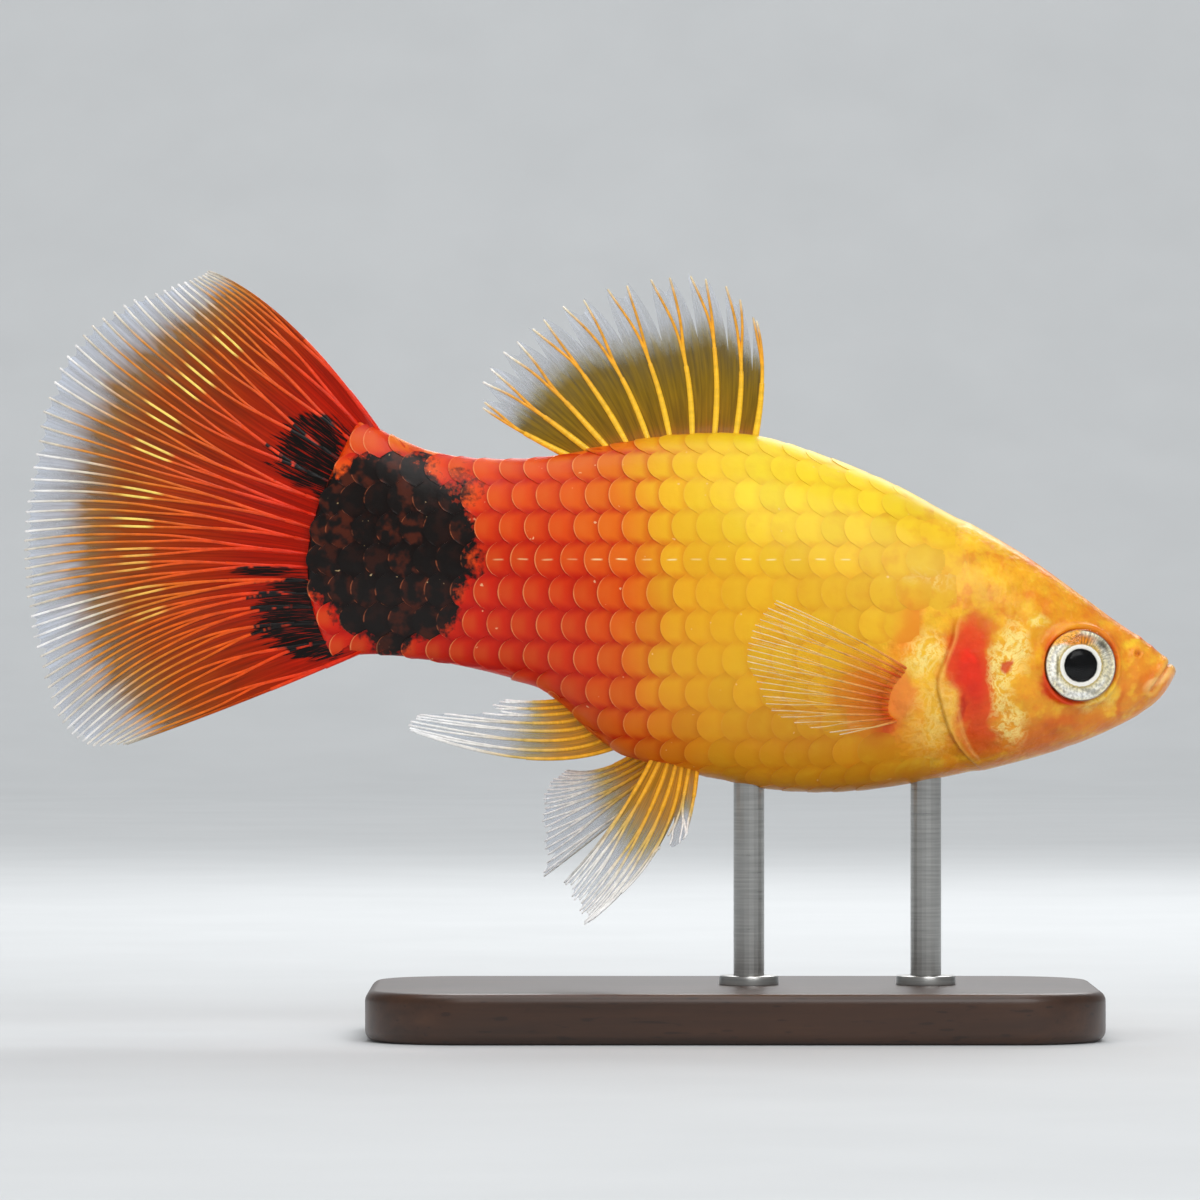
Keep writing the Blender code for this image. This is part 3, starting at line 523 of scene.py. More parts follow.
def makeMarkings():
    # the fish's colours by place, shared by its skin and its scales
    tree = bpy.data.node_groups.new("platy markings", "ShaderNodeTree")
    tree.interface.new_socket("Place", in_out="INPUT", socket_type="NodeSocketVector")
    for label, kind in (("Colour", "Color"), ("Dark", "Float")):
        tree.interface.new_socket(label, in_out="OUTPUT", socket_type="NodeSocket" + kind)
    fishPlace = fishPlaceOf(tree, tree.nodes.new("NodeGroupInput").outputs[0])
    drifts = [fishPlace]
    for scale, reach in markings["edges"]:
        noise = addNode(tree, "TexNoise", {"Vector": fishPlace, "Scale": scale, "Detail": 2.0}, out="Color")
        centred = addNode(tree, "VectorMath", [noise, (0.5, 0.5, 0.5)], operation="SUBTRACT")
        moved = [centred, (reach, reach, reach), drifts[-1]]
        drifts.append(addNode(tree, "VectorMath", moved, operation="MULTIPLY_ADD"))
    _, cloudy, blotched, ragged = drifts
    back, _, up = addNode(tree, "SeparateXYZ", [cloudy]).node.outputs
    along = addNode(tree, "Math", [back, markings["span"]], operation="DIVIDE")
    shoulder, flank, belly = (
        setStops(addNode(tree, "ValToRGB", [along]), markings[band], markings["span"])
        for band in ("shoulder", "flank", "belly")
    )
    fades = (markings["backFade"], markings["bellyFade"])
    high, low = (addNode(tree, "MapRange", [up, *fade], **smooth) for fade in fades)
    colour = paintLayers(tree, flank, [(high, shoulder), (low, belly)])
    # the head is mottled yellow and orange, in spots of half a millimetre to a millimetre
    spans = (addNode(tree, "MapRange", [back, *span], **smooth) for span in markings["mottledSpans"])
    reachOf = addNode(tree, "Math", [*spans], operation="MULTIPLY")
    settings = {"Vector": fishPlace, "Scale": markings["mottleScale"], "Detail": 3.0, "Roughness": 0.6}
    spotty = addNode(tree, "TexNoise", settings)
    for first, last, paint in markings["mottling"]:
        level = addNode(tree, "MapRange", [spotty, first, last, 0.0, markings["mottleStrength"]])
        share = addNode(tree, "Math", [level, reachOf], operation="MULTIPLY")
        colour = paintLayers(tree, colour, [(share, paint)])
    colour = paintPatches(tree, colour, blotched, markings["patches"])
    # glitter lies over gold, in curled strands and grains
    grain = addNode(tree, "TexNoise", {"Vector": blotched, "Scale": 1.7, "Detail": 4.0, "Roughness": 0.65})
    level = addNode(tree, "Math", [grain, 0.5], operation="SUBTRACT")
    fromStrand = addNode(tree, "Math", [level], operation="ABSOLUTE")
    strands = addNode(tree, "MapRange", [fromStrand, 0.005, 0.1, 0.9, 0.0])
    glitterMask = softMasks(tree, blotched, markings["glitter"])
    gilt, glitter = (addNode(tree, "Math", [glitterMask, by], operation="MULTIPLY") for by in (0.5, strands))
    colour = paintLayers(tree, colour, [(gilt, markings["gilt"]), (glitter, markings["strand"])])
    colour = paintPatches(tree, colour, blotched, [markings["redMark"]])
    dark = softMasks(tree, ragged, markings["spots"])
    # the black isn't even: fine specks of the red show near its edge
    speck = addNode(tree, "TexNoise", {"Vector": fishPlace, "Scale": 6.0, "Detail": 3.0})
    lifted = addNode(tree, "Math", [speck, 0.9, -0.45], operation="MULTIPLY_ADD")
    summed = addNode(tree, "Math", [dark, lifted], operation="ADD")
    dark = addNode(tree, "MapRange", [summed, 0.3, 0.62])
    colour = paintLayers(tree, colour, [(dark, markings["spotColour"])])
    fillSockets(tree.nodes.new("NodeGroupOutput"), [colour, dark])
    return tree


markingsTree = makeMarkings()

fishFinish = {
    "roughness": 0.4,
    "coat": 0.1,  # the wet film over the scales
    "headCoat": 0.3,
    "coatRoughness": 0.16,
    "ior": 1.36,
    "specular": 0.35,
    "glow": 0.12,  # how much light the flesh lets through
    "glowRadius": (1.0, 0.35, 0.12),
    "glowDepth": 0.6,
    "mottle": 0.10,
    # features for each millimetre: cloudy colour of about 1 mm, pores of 0.3 mm, wrinkles of 0.9 mm
    "mottlePerMm": 0.9,
    "poresPerMm": 3.5,
    "foldsPerMm": 1.1,
    # on a plate: broken colour, stray painted glints of a grain's size, and the plate's unevenness
    "brokenPerMm": 1.4,
    "glintsPerMm": 3.2,
    "unevenPerMm": 1.5,
}


def wetSurface(coat):
    return {
        "Roughness": fishFinish["roughness"], "IOR": fishFinish["ior"], "Coat Weight": coat,
        "Specular IOR Level": fishFinish["specular"], "Coat Roughness": fishFinish["coatRoughness"],
        "Subsurface Weight": fishFinish["glow"], "Subsurface Radius": fishFinish["glowRadius"],
        "Subsurface Scale": fishFinish["glowDepth"] * mm,
    }


def makeSkinFinish():
    # live skin under a film of mucus: soft colour with wet lights, and fine pores on the head
    finish, tree, shader, where = newFinish("wet scaleless skin", wetSurface(fishFinish["headCoat"]))
    marked = addNode(tree, "Group", [where], node_tree=markingsTree)
    clouds = fishFinish["mottlePerMm"] / mm
    mottle = addNode(tree, "TexNoise", {"Vector": where, "Scale": clouds, "Detail": 4.0})
    uneven = fishFinish["mottle"]
    lightness = addNode(tree, "MapRange", [mottle, 0.3, 0.7, 1 - uneven, 1 + uneven])
    colour = addNode(tree, "HueSaturation", {"Color": marked, "Value": lightness})
    # painted shade darkens the creases; pale lines lie beside them
    crease, pale = readMarks(tree, "crease pale")
    colour = paintLayers(tree, colour, [(crease, "#8A2A0A"), (pale, "#F2C060")])
    pores, folds = (
        addNode(tree, "TexNoise", {"Vector": where, "Scale": fishFinish[key] / mm, "Detail": 3.0})
        for key in ("poresPerMm", "foldsPerMm")
    )
    height = addNode(tree, "Math", [folds, 3.0, pores], operation="MULTIPLY_ADD")
    relief = addNode(tree, "Bump", {"Height": height, "Distance": 0.08 * mm, "Strength": 0.7})
    fillSockets(shader, {"Base Color": colour, "Normal": relief})
    return finish


def makeScaleFinish():
    # thin bony plates under wet skin: a pale rear rim, partly a painted highlight, and painted shade where a
    # plate dips under the next
    finish, tree, shader, where = newFinish("wet fish scale", wetSurface(fishFinish["coat"]))
    root = addNode(tree, "Attribute", out="Vector", attribute_name="root")
    shared = addNode(tree, "Mix", [0.35, where, root], data_type="VECTOR")
    colour, dark = addNode(tree, "Group", [shared], node_tree=markingsTree).node.outputs
    chance, along, across, strength, dashed = readMarks(tree, "chance along across strength dash")
    side = addNode(tree, "Math", [across], operation="ABSOLUTE")
    broken, paintedGlint, uneven = (
        addNode(tree, "TexNoise", {"Vector": where, "Scale": fishFinish[key] / mm, "Detail": detail})
        for key, detail in (("brokenPerMm", 2.0), ("glintsPerMm", 1.0), ("unevenPerMm", 3.0))
    )
    light = addNode(tree, "Math", [1.0, dark], operation="SUBTRACT")
    reads = {"dark": dark, "light": light, "strength": strength, "dashed": dashed} | {
        name: addNode(tree, "MapRange", [source, *span], **smooth)
        for name, source, span in (
            ("sides", side, (0.45, 0.95, 0.0, 1.0)), ("frontSides", along, (0.25, 1.0, 1.0, 0.35)),
            ("front", along, (-0.4, 0.1, 0.65, 0.0)), ("middle", side, (0.1, 0.8, 0.12, 0.0)),
            ("rear", along, (0.0, 0.5, 0.0, 1.0)), ("some", chance, (0.3, 1.0, 0.1, 0.75)),
            ("blotch", broken, (0.44, 0.64, 0.0, 1.0)), ("kept", broken, (0.5, 0.6, 0.0, 1.0)),
            ("edge", along, (0.9, 0.98, 0.0, 0.5)), ("worn", broken, (0.35, 0.6, 0.35, 1.0)),
            ("line", side, (0.015, 0.06, 1.0, 0.0)), ("lineStart", along, (0.0, 0.2, 0.0, 1.0)),
            ("lineEnd", along, (0.45, 0.7, 1.0, 0.0)), ("paintedGlint", paintedGlint, (0.76, 0.82, 0.0, 0.5)),
        )
    }
    value = addNode(tree, "MapRange", [chance, 0.0, 1.0, 0.94, 1.05])
    colour = addNode(tree, "HueSaturation", {"Color": colour, "Value": value})
    # painted shade: the same colour, redder and deeper, where a plate lies under its neighbours' edges
    shadedColour = addNode(tree, "Mix", [1.0, colour, "#E07848"], data_type="RGBA", blend_type="MULTIPLY")
    corner = addNode(tree, "Math", [reads["sides"], reads["frontSides"]], operation="MULTIPLY")
    reads["dip"] = addNode(tree, "Math", [corner, reads["front"]], operation="MAXIMUM")
    reads["whole"] = addNode(tree, "Math", [reads["kept"], light], operation="MAXIMUM")
    rimColourAndHighlight = paintLayers(tree, "#F8A868", [(dark, "#B8603C")])
    for names, paint in (
        ("dip strength", shadedColour),
        # a painted highlight makes its middle paler, except where the skin is black; some black plates show
        # the red beneath
        ("middle rear strength light", "#F59838"),
        ("some blotch dark", "#54200F"),
        # the thin rear rim is paler, partly its own colour and partly a painted highlight, and breaks up in
        # the black
        ("edge whole strength worn", rimColourAndHighlight),
        # the lateral row's dashes, and stray painted glints
        ("line lineStart lineEnd dashed", "#FFE8A8"),
        ("paintedGlint", "#FFD8A0"),
    ):
        share, *factors = (reads[name] for name in names.split())
        for factor in factors:
            share = addNode(tree, "Math", [share, factor], operation="MULTIPLY")
        colour = paintLayers(tree, colour, [(share, paint)])
    # growth rings are under a tenth of a millimetre apart, too fine to show, so a plate is only uneven
    relief = addNode(tree, "Bump", {"Height": uneven, "Distance": 0.05 * mm, "Strength": 0.5})
    fillSockets(shader, {"Base Color": colour, "Normal": relief})
    return finish


skinFinish = makeSkinFinish()
scaleFinish = makeScaleFinish()


def cutAt(endOf, turns):
    # how far back each line along the body meets an edge that is given by height
    backs = np.full(len(turns), float(endOf(0.0)))
    for _ in range(12):  # it settles in fewer
        backs = endOf(smoothPoint(backs, turns)[:, 2] - body["snoutHeight"])
    return backs


def skinMarks(points):
    # painted shade darkens the creases of the mouth, nostrils and gill opening, and pale lines lie beside
    # them
    back, up = body["length"] / 2 - points[:, 0], points[:, 2] - body["snoutHeight"]
    reach = openingReach(up, skin["openingMarks"])
    distances = {
        "slit": (segmentDistance(back, up, *skin["mouthSlit"]), 1.0),
        "nostril": (ovalDistance(back, up, skin["nostril"]), 1.0),
        "cover": (back - coverEdge(up), reach),
        "fold": (pastFold(back, up), smoothStep(up, *skin["foldMarkTop"]) * reach),
    }
    marks = {}
    for label, lines in (("crease", skin["creaseShades"]), ("pale", skin["paleLines"])):
        shares = [ridges(distances[key][0], [line]) * distances[key][1] for key, line in lines.items()]
        marks[label] = np.clip(sum(shares), 0, 1)
    return marks


def skinRings(turns):
    # rings gather at the mouth and at the gill cover's edge, and follow that edge
    coverCut, stalkCut = cutAt(coverEdge, turns), cutAt(stalkEnd, turns)
    beforeEdge, behindEdge = skin["gather"]
    headShares = 1 - (1 - np.linspace(0, 1, skin["headRings"] + 1)) ** beforeEdge
    trunkShares = np.linspace(0, 1, skin["trunkRings"] + 1)[1:] ** behindEdge
    roots = [np.sqrt(skin["firstRing"]) * (1 - s) + np.sqrt(coverCut) * s for s in headShares]
    roots += [np.sqrt(coverCut) * (1 - s) + np.sqrt(stalkCut) * s for s in trunkShares]
    points = bodyPoint(np.array(roots) ** 2, turns[None, :])
    last = points[-1]
    middle = last[:, 2].mean()
    tongue = []
    for ring in range(1, skin["tongueRings"] + 1):
        share = ring / skin["tongueRings"]
        moved = last.copy()
        moved[:, 0] -= skin["tongueLength"] * share
        moved[:, 1] *= max(math.sqrt(1 - share**2), 0.05)
        moved[:, 2] = middle + (last[:, 2] - middle) * (1 + skin["tongueFlare"] * share)
        tongue.append(moved)
    return np.concatenate([points, np.array(tongue)])


def skinFaces(rows, count):
    # the rings, the fan round the nose, whose point comes last, and the tongue's flat end
    faces = gridFaces(rows, count, closed=True).tolist()
    faces += [(rows * count, (i + 1) % count, i) for i in range(count)]
    first, half = (rows - 1) * count, count // 2
    faces += [
        (first + i, first + i + 1, first + count - i - 1, first + (count - i) % count)
        for i in range(1, half - 1)
    ]
    faces += [(first, first + 1, first + count - 1), (first + half - 1, first + half, first + half + 1)]
    return faces


def mapSkin(mesh, rows, count):
    # round the body and along it, with the seam along the belly
    row, column = np.divmod(np.arange(rows * count), count)
    corners, totals = readNumbers(mesh.loops, "vertex_index"), readNumbers(mesh.polygons, "loop_total")
    u = np.append(column / count, 0.5)[corners]
    v = np.append((row + 1) / (rows + 1), 0.0)[corners]
    owner = np.repeat(np.arange(len(totals)), totals)
    highest = np.zeros(len(totals))
    np.maximum.at(highest, owner, u)
    u = np.where((u == 0) & (highest[owner] > 0.9), 1.0, u)
    addMap(mesh, np.stack([u, v], axis=-1))


def buildSkin():
    count = skin["around"]
    rings = skinRings(np.arange(count) / count)
    rows = len(rings)
    nose = place(0.0, (float(backUp(0.0)) + float(bellyUp(0.0))) / 2)
    points = np.concatenate([rings.reshape(-1, 3), nose[None, :]])
    piece = addPiece("fish_skin", points, skinFaces(rows, count), skinFinish, skinMarks(points), 180)
    mapSkin(piece.data, rows, count)
    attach(piece, "root")
    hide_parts("head", "lower_jaw", "gill_cover_left", "gill_cover_right", "trunk", "tail_stalk")
    print("skin built")


buildSkin()

scales = {
    "pitch": 1.28,  # along a row
    "rowPitch": [(8.0, 1.62), (20.0, 1.72), (32.0, 1.72), (38.0, 1.64), (45.0, 1.5)],
    "lateralUp": 5.7,
    "hidden": 0.95,
    "shown": 0.98,
    "halfHeight": 0.63,  # of a row's pitch
    "rearRound": 0.84,  # how round the rear edge is, where 1 is half an ellipse
    "narrowing": (0.16, 0.25),  # of a plate's height towards its rear and its front
    "thickness": 0.035,
    "rootLift": 0.01,
    "rimLift": 0.1,
    "startLine": [
        (-6.4, 13.2), (-4.8, 13.8), (-3.0, 15.6), (-1.0, 16.0), (0.6, 15.6), (1.8, 14.2), (3.2, 12.6),
        (5.0, 11.9), (8.5, 11.7),
    ],
    "alongSteps": [-1, -0.55, -0.2, 0.1, 0.4, 0.65, 0.83, 0.94, 1],
    "acrossSteps": 11,
    "endGap": 0.42,  # from a row's last plate to the stalk's end
    "fadeIn": 3.0,  # plates rise over this far behind the first ones
    "lateral": (16.0, 36.0),  # where the lateral row has its pale dashes
    "dashStrength": (0.2, 0.8),
    "rowsBelow": 10,
    "rowsAbove": 6,
    "firstBack": 8.0,
    "lastBack": 46.0,
    "rowEnds": (0.2, 0.1),  # pitches by which rows keep off the belly's and the back's middle
    "closerPlate": 0.7,  # of a pitch: a gap up to this is closed by one more plate
    "sizeScatter": 0.06,
    "tiltScatter": 0.05,
    "liftScatter": 0.006,
    "crown": 0.012,
    # plates lie smoother over the yellow shoulder and behind the head: (least, start, end)
    "reliefFade": (0.594, 22.0, 29.0),
    "paintFade": (0.22, 24.0, 29.0),
    "startSink": 0.045,  # the first plates lie this much deeper, with this share of their marks
    "startShare": 0.3,
    "rimThinning": 0.45,
    # the map of a side's plates, each a small patch near its own place
    "mapStart": (8.0, -2.0),
    "mapSpan": (39.0, 34.0),
    "patchScale": 0.0015,
    # the table of turns: (first, past the last, step) back and round the body, and its turns
    "tableBacks": (7.0, 47.01, 0.25),
    "tableArcs": (-4.0, 34.01, 0.05),
    "tableTurns": (-0.12, 0.62, 741),
}
rowPitch = spline(scales["rowPitch"])
scaleStart = spline(scales["startLine"])
backStep, arcStep = scales["tableBacks"][2], scales["tableArcs"][2]


def makeArcTable():
    # the turn at each back and each distance round the body from the belly's middle
    backs, arcs = np.arange(*scales["tableBacks"]), np.arange(*scales["tableArcs"])
    turns = np.linspace(*scales["tableTurns"])
    rows = []
    belly = int(np.argmin(np.abs(turns)))
    for back in backs:
        line = smoothPoint(back, turns)
        lengths = np.concatenate([[0], np.cumsum(np.linalg.norm(np.diff(line, axis=0), axis=1))])
        rows.append(np.interp(arcs, lengths - lengths[belly], turns))
    return backs, arcs, np.array(rows)


tableBacks, tableArcs, turnTable = makeArcTable()


def turnByArc(back, arc):
    i = np.clip((back - tableBacks[0]) / backStep, 0, len(tableBacks) - 1.001)
    j = np.clip((arc - tableArcs[0]) / arcStep, 0, len(tableArcs) - 1.001)
    row, column = i.astype(int), j.astype(int)
    s, t = i - row, j - column
    return (
        turnTable[row, column] * (1 - s) * (1 - t) + turnTable[row + 1, column] * s * (1 - t)
        + turnTable[row, column + 1] * (1 - s) * t + turnTable[row + 1, column + 1] * s * t
    )


def arcAtTurn(turnOf):
    # distance round the body of a line that turnOf gives at each back
    values = [np.interp(turnOf(back), turnTable[i], tableArcs) for i, back in enumerate(tableBacks)]
    return lambda back: np.interp(back, tableBacks, values)


lateralArc = arcAtTurn(lambda back: turnAt(back, min(scales["lateralUp"], float(backUp(back)) - 0.02)))
crestArc = arcAtTurn(lambda back: 0.5)


def scaleShape():
    # one plate's grid, from -1 to 1 along and across it, and where its points lie
    lengths = np.array(scales["alongSteps"])
    widths = np.linspace(-1, 1, scales["acrossSteps"])
    s, c = np.meshgrid(lengths, widths, indexing="ij")
    # the rear edge is round and a little pointed, the front one blunt
    rear, front = scales["narrowing"]
    shown = scales["shown"] * s * np.sqrt(1 - scales["rearRound"] * c**2)
    reach = np.where(s > 0, shown, scales["hidden"] * s)
    wide = c * np.where(s > 0, 1 - rear * s**2, 1 - front * s**2)
    return s, c, reach, wide


def scaleCentres():
    # (back, row, up) of each plate on one side
    centres = []
    pitch = scales["pitch"]
    low, high = scales["rowEnds"]

    def upAt(back, row):
        # None where the row has run off the flank there
        width = float(rowPitch(back))
        arc = float(lateralArc(back) + row * rowPitch(back))
        if not low * width < arc < float(crestArc(back)) - high * width:
            return None
        turn = turnByArc(np.array([back]), np.array([arc]))[0]
        return float(smoothPoint(back, float(turn))[2]) - body["snoutHeight"]

    for row in range(-scales["rowsBelow"], scales["rowsAbove"] + 1):
        back = scales["firstBack"] + (row % 2) * pitch / 2
        while back < scales["lastBack"]:
            up = upAt(back, row)
            if up is not None and back > float(scaleStart(up)):
                last = float(stalkEnd(up)) - scales["endGap"]
                if back < last:
                    centres.append((back, row, up))
                elif back - last < scales["closerPlate"] * pitch and upAt(last, row) is not None:
                    centres.append((last, row, upAt(last, row)))
                    break
            back += pitch
    return centres


def fadeUp(back, least, start, end):
    return least + (1 - least) * float(smoothStep(back, start, end))


def buildScales(name, side, seed):
    draw = random.Random(seed)
    s, c, reach, wide = scaleShape()
    share = (s + 1) / 2
    faces = slabFaces(*s.shape)
    points, allFaces, places = [], [], []
    marks = {key: [] for key in ("root", "chance", "along", "across", "strength", "dash")}
    for back0, row, up in scaleCentres():
        pitch = float(rowPitch(back0))
        grow = draw.uniform(1 - scales["sizeScatter"], 1 + scales["sizeScatter"])
        tilt = draw.uniform(-scales["tiltScatter"], scales["tiltScatter"])
        chance = draw.random()
        a, b = reach * grow, wide * pitch * scales["halfHeight"] * grow
        a, b = a - tilt * b, b + tilt * a
        backs = back0 + a
        arcs = lateralArc(backs) + row * rowPitch(backs) + b
        turn = turnByArc(backs, arcs)
        rimLift = scales["rimLift"] * fadeUp(back0, *scales["reliefFade"])
        past = back0 - float(scaleStart(up))
        rise = fadeUp(past, 0.0, 0.0, scales["fadeIn"])
        lift = scales["rootLift"] + (rimLift - scales["rootLift"]) * share
        lift = lift + draw.uniform(-scales["liftScatter"], scales["liftScatter"]) - scales["crown"] * c**2
        lift = lift - scales["startSink"] * (1 - rise) * share
        outer = bodyPoint(backs, turn, lift)
        inner = bodyPoint(backs, turn, lift - scales["thickness"] * (1 - scales["rimThinning"] * share**3))
        plate = np.concatenate([outer.reshape(-1, 3), inner.reshape(-1, 3)])
        plate[:, 1] *= -side
        allFaces.append(faces + len(points) * len(plate))
        points.append(plate)
        rowArc = float(lateralArc(back0)) + row * pitch
        root = bodyPoint(np.array(back0), turnByArc(np.array([back0]), np.array([rowArc]))[0])
        first, last = scales["lateral"]
        values = {
            "root": root * [1, -side, 1] * mm,
            "chance": chance,
            "strength": fadeUp(back0, *scales["paintFade"])
            * fadeUp(past, scales["startShare"], 0.0, scales["fadeIn"]),
            "dash": draw.uniform(*scales["dashStrength"]) if row == 0 and first < back0 < last else 0.0,
        }
        for key, value in values.items():
            marks[key].append(np.tile(value, (len(plate), 1) if key == "root" else len(plate)))
        marks["along"].append(np.tile(s.ravel(), 2))
        marks["across"].append(np.tile(c.ravel(), 2))
        home = (np.array([back0, rowArc]) - scales["mapStart"]) / scales["mapSpan"]
        patch = home + np.stack([a.ravel(), b.ravel()], axis=-1) * scales["patchScale"]
        places.append(np.tile(patch, (2, 1)))
    joined = {key: np.concatenate(values) for key, values in marks.items()}
    piece = addPiece(name, np.concatenate(points), np.concatenate(allFaces), scaleFinish, joined, 50)
    corners = readNumbers(piece.data.loops, "vertex_index")
    addMap(piece.data, np.concatenate(places)[corners])
    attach(piece, "root")
    print(name, len(points), "plates,", len(piece.data.polygons) * 2, "triangles")
    return piece


buildScales("scales_right", rightSide, 7)
buildScales("scales_left", leftSide, 19)


def curvePoint(root, middle, tip, u):
    # a parabola through the three, at u of 0, a half and 1
    return root * (1 - u) * (1 - 2 * u) + middle * 4 * u * (1 - u) + tip * u * (2 * u - 1)


def finSurface(guides, sideways):
    # the fin's middle surface: u from root to tip, v from 0 to 1 across it
    guides = np.array(guides, float)
    knots = np.linspace(0, 1, len(guides))
    lines = [[spline(list(zip(knots, guides[:, k, axis]))) for axis in (0, 1)] for k in range(3)]

    def at(u, v):
        v = np.clip(v, 0, 1)
        back, up = (curvePoint(lines[0][axis](v), lines[1][axis](v), lines[2][axis](v), u) for axis in (0, 1))
        return place(back, up, sideways(u, v))

    return at


# What fins share: how far a fork takes to open, the notches between rays, the ragged edge,
# the rays' sway and where the roots start; the pelvic fins share more.
finHabit = {"spread": 0.5, "notchWidth": 0.12, "ragged": 0.02, "wiggle": 0.1, "start": -0.05}
pelvicHabit = finHabit | {
    "forks": (0.25, 0.55), "rayRadius": (0.13, 0.08), "webHalf": (0.22, 0.03, 0.06),
    "perRay": 16, "rows": 36, "tips": 4, "tipNotch": 0.015,
}
# guides are courses of rays: (root, middle, tip), each (back, up)
caudal = finHabit | {
    "guides": [
        ((41.9, 12.7), (46.2, 18.0), (50.3, 20.7)), ((43.0, 11.2), (48.3, 16.0), (52.5, 19.8)),
        ((44.2, 8.9), (50.8, 12.3), (57.2, 17.0)), ((44.6, 7.2), (52.1, 9.4), (59.5, 10.6)),
        ((44.7, 5.8), (52.3, 6.3), (59.9, 5.7)), ((44.6, 4.3), (51.7, 3.7), (59.2, 1.0)),
        ((44.2, 2.6), (50.8, 1.5), (57.7, -3.3)), ((43.3, 0.7), (48.7, -1.7), (54.6, -3.9)),
    ],
    "rays": 17, "forks": (0.08, 0.33), "rayRadius": (0.155, 0.1), "webHalf": (0.62, 0.035, 0.07),
    "perRay": 16, "rows": 44, "notch": (0.012, 0.012), "notchWidth": 0.1, "tips": 4, "tipNotch": 0.018,
    "ragged": 0.012, "wiggle": 0.12, "start": -0.06, "spread": 0.36,
    # gold dashes: the first ray with them and the first without, where they start along it, and
    # the first ray with weak ones
    "dashes": (2, 13, 0.56, 9),
}
dorsal = finHabit | {
    "guides": [
        ((21.9, 12.4), (21.5, 15.4), (21.8, 18.1)), ((22.9, 12.4), (22.6, 16.0), (23.05, 19.9)),
        ((24.0, 12.4), (24.0, 16.8), (25.0, 20.8)), ((25.15, 12.4), (25.6, 16.5), (26.9, 20.6)),
        ((26.3, 12.3), (27.4, 16.1), (29.2, 20.2)), ((27.4, 12.1), (29.1, 15.7), (31.5, 19.3)),
        ((28.5, 11.9), (30.8, 15.3), (33.5, 18.2)), ((29.5, 11.8), (32.2, 14.4), (34.7, 16.9)),
        ((30.4, 11.6), (33.2, 13.4), (36.0, 15.4)), ((31.5, 11.4), (34.1, 12.4), (36.05, 13.6)),
    ],
    "rays": 10, "forks": (0.42, None), "rayRadius": (0.2, 0.07), "webHalf": (0.32, 0.035, 0.05),
    "perRay": 24, "rows": 40, "notch": (0.42, 0.08), "notchWidth": 0.1, "tips": 2, "tipNotch": 0.11,
    "start": -0.06, "spread": 0.75,
}
anal = finHabit | {
    "guides": [
        ((29.1, -4.4), (33.8, -4.62), (39.7, -3.2)), ((29.7, -4.0), (33.7, -4.2), (39.9, -3.1)),
        ((30.2, -3.6), (33.6, -3.7), (39.9, -2.8)), ((30.6, -3.2), (33.6, -3.2), (39.5, -2.5)),
        ((31.0, -2.8), (33.5, -2.8), (38.9, -2.33)), ((31.3, -2.5), (33.3, -2.4), (35.4, -2.25)),
        ((31.6, -2.2), (33.4, -2.05), (35.5, -1.95)), ((31.9, -1.9), (33.4, -1.7), (34.9, -1.6)),
    ],
    "rays": 8, "forks": (0.5, None), "rayRadius": (0.12, 0.07), "webHalf": (0.25, 0.035, 0.06),
    "perRay": 10, "rows": 36, "notch": (0.02, 0.03), "notchWidth": 0.15, "tips": 2, "tipNotch": 0.01,
    "ragged": 0.01, "wiggle": 0.05, "start": -0.04,
}
pelvicRight = pelvicHabit | {
    "guides": [
        ((24.9, -5.6), (25.2, -7.3), (25.66, -8.8)), ((25.3, -5.5), (25.75, -7.4), (26.1, -9.2)),
        ((25.7, -5.4), (26.95, -9.1), (30.0, -12.6)), ((26.0, -5.3), (27.7, -9.2), (30.85, -13.2)),
        ((26.4, -5.2), (28.2, -8.9), (31.0, -12.6)), ((26.8, -5.1), (28.8, -8.3), (31.4, -11.9)),
        ((27.2, -5.0), (29.2, -7.9), (31.8, -11.0)),
    ],
    "rays": 7, "notch": (0.08, 0.08), "ragged": 0.03,
    "gap": (1.5, 0.5, 0.34),  # the web is split between the second and third rays
}
pelvicLeft = pelvicHabit | {
    "guides": [
        ((26.0, -5.4), (28.8, -7.6), (33.0, -10.95)), ((26.4, -5.3), (29.4, -7.05), (32.9, -9.3)),
        ((26.8, -5.2), (29.7, -6.5), (33.0, -7.8)), ((27.2, -5.1), (29.9, -6.0), (32.9, -6.7)),
        ((27.6, -5.0), (30.0, -5.6), (32.5, -5.85)), ((28.0, -4.9), (29.9, -5.25), (31.7, -5.3)),
    ],
    "rays": 6, "notch": (0.05, 0.05),
}
pectoral = finHabit | {
    "guides": [
        ((14.2, 0.1), (17.4, 1.92), (21.0, 3.6)), ((14.5, -0.3), (18.2, 1.25), (21.9, 2.6)),
        ((14.9, -0.83), (18.6, 0.42), (22.4, 1.46)), ((15.1, -1.35), (18.8, -0.5), (22.4, 0.3)),
        ((15.2, -1.87), (18.4, -1.4), (21.8, -1.0)), ((15.1, -2.34), (18.0, -2.34), (20.8, -2.34)),
        ((14.7, -2.65), (16.2, -3.0), (17.7, -3.3)),
    ],
    "rays": 12, "forks": (0.35, None), "rayRadius": (0.07, 0.035), "webHalf": (0.2, 0.02, 0.05),
    "perRay": 6, "rows": 30, "notch": (0.015, 0.02), "notchWidth": 0.15, "tips": 2, "tipNotch": 0.01,
    "wiggle": 0.06, "start": -0.02,
}
finPlaces = {
    "pelvicRootSide": 0.9, "pelvicSplay": 2.2, "pelvicCurve": 1.3,
    "pectoralRoot": -0.15, "pectoralStandoff": 0.8, "standoffReach": 0.08, "pectoralSplay": 2.3,
    "caudalWave": (0.25, 2.5), "dorsalWave": (0.15, 2.0),  # height in mm, and waves across the fin
    "sink": 0.3,  # how deep the roots lie in the flesh
}


def flatWave(height, waves):
    return lambda u, v: height * np.maximum(u, 0) * np.sin(waves * 2 * np.pi * v)


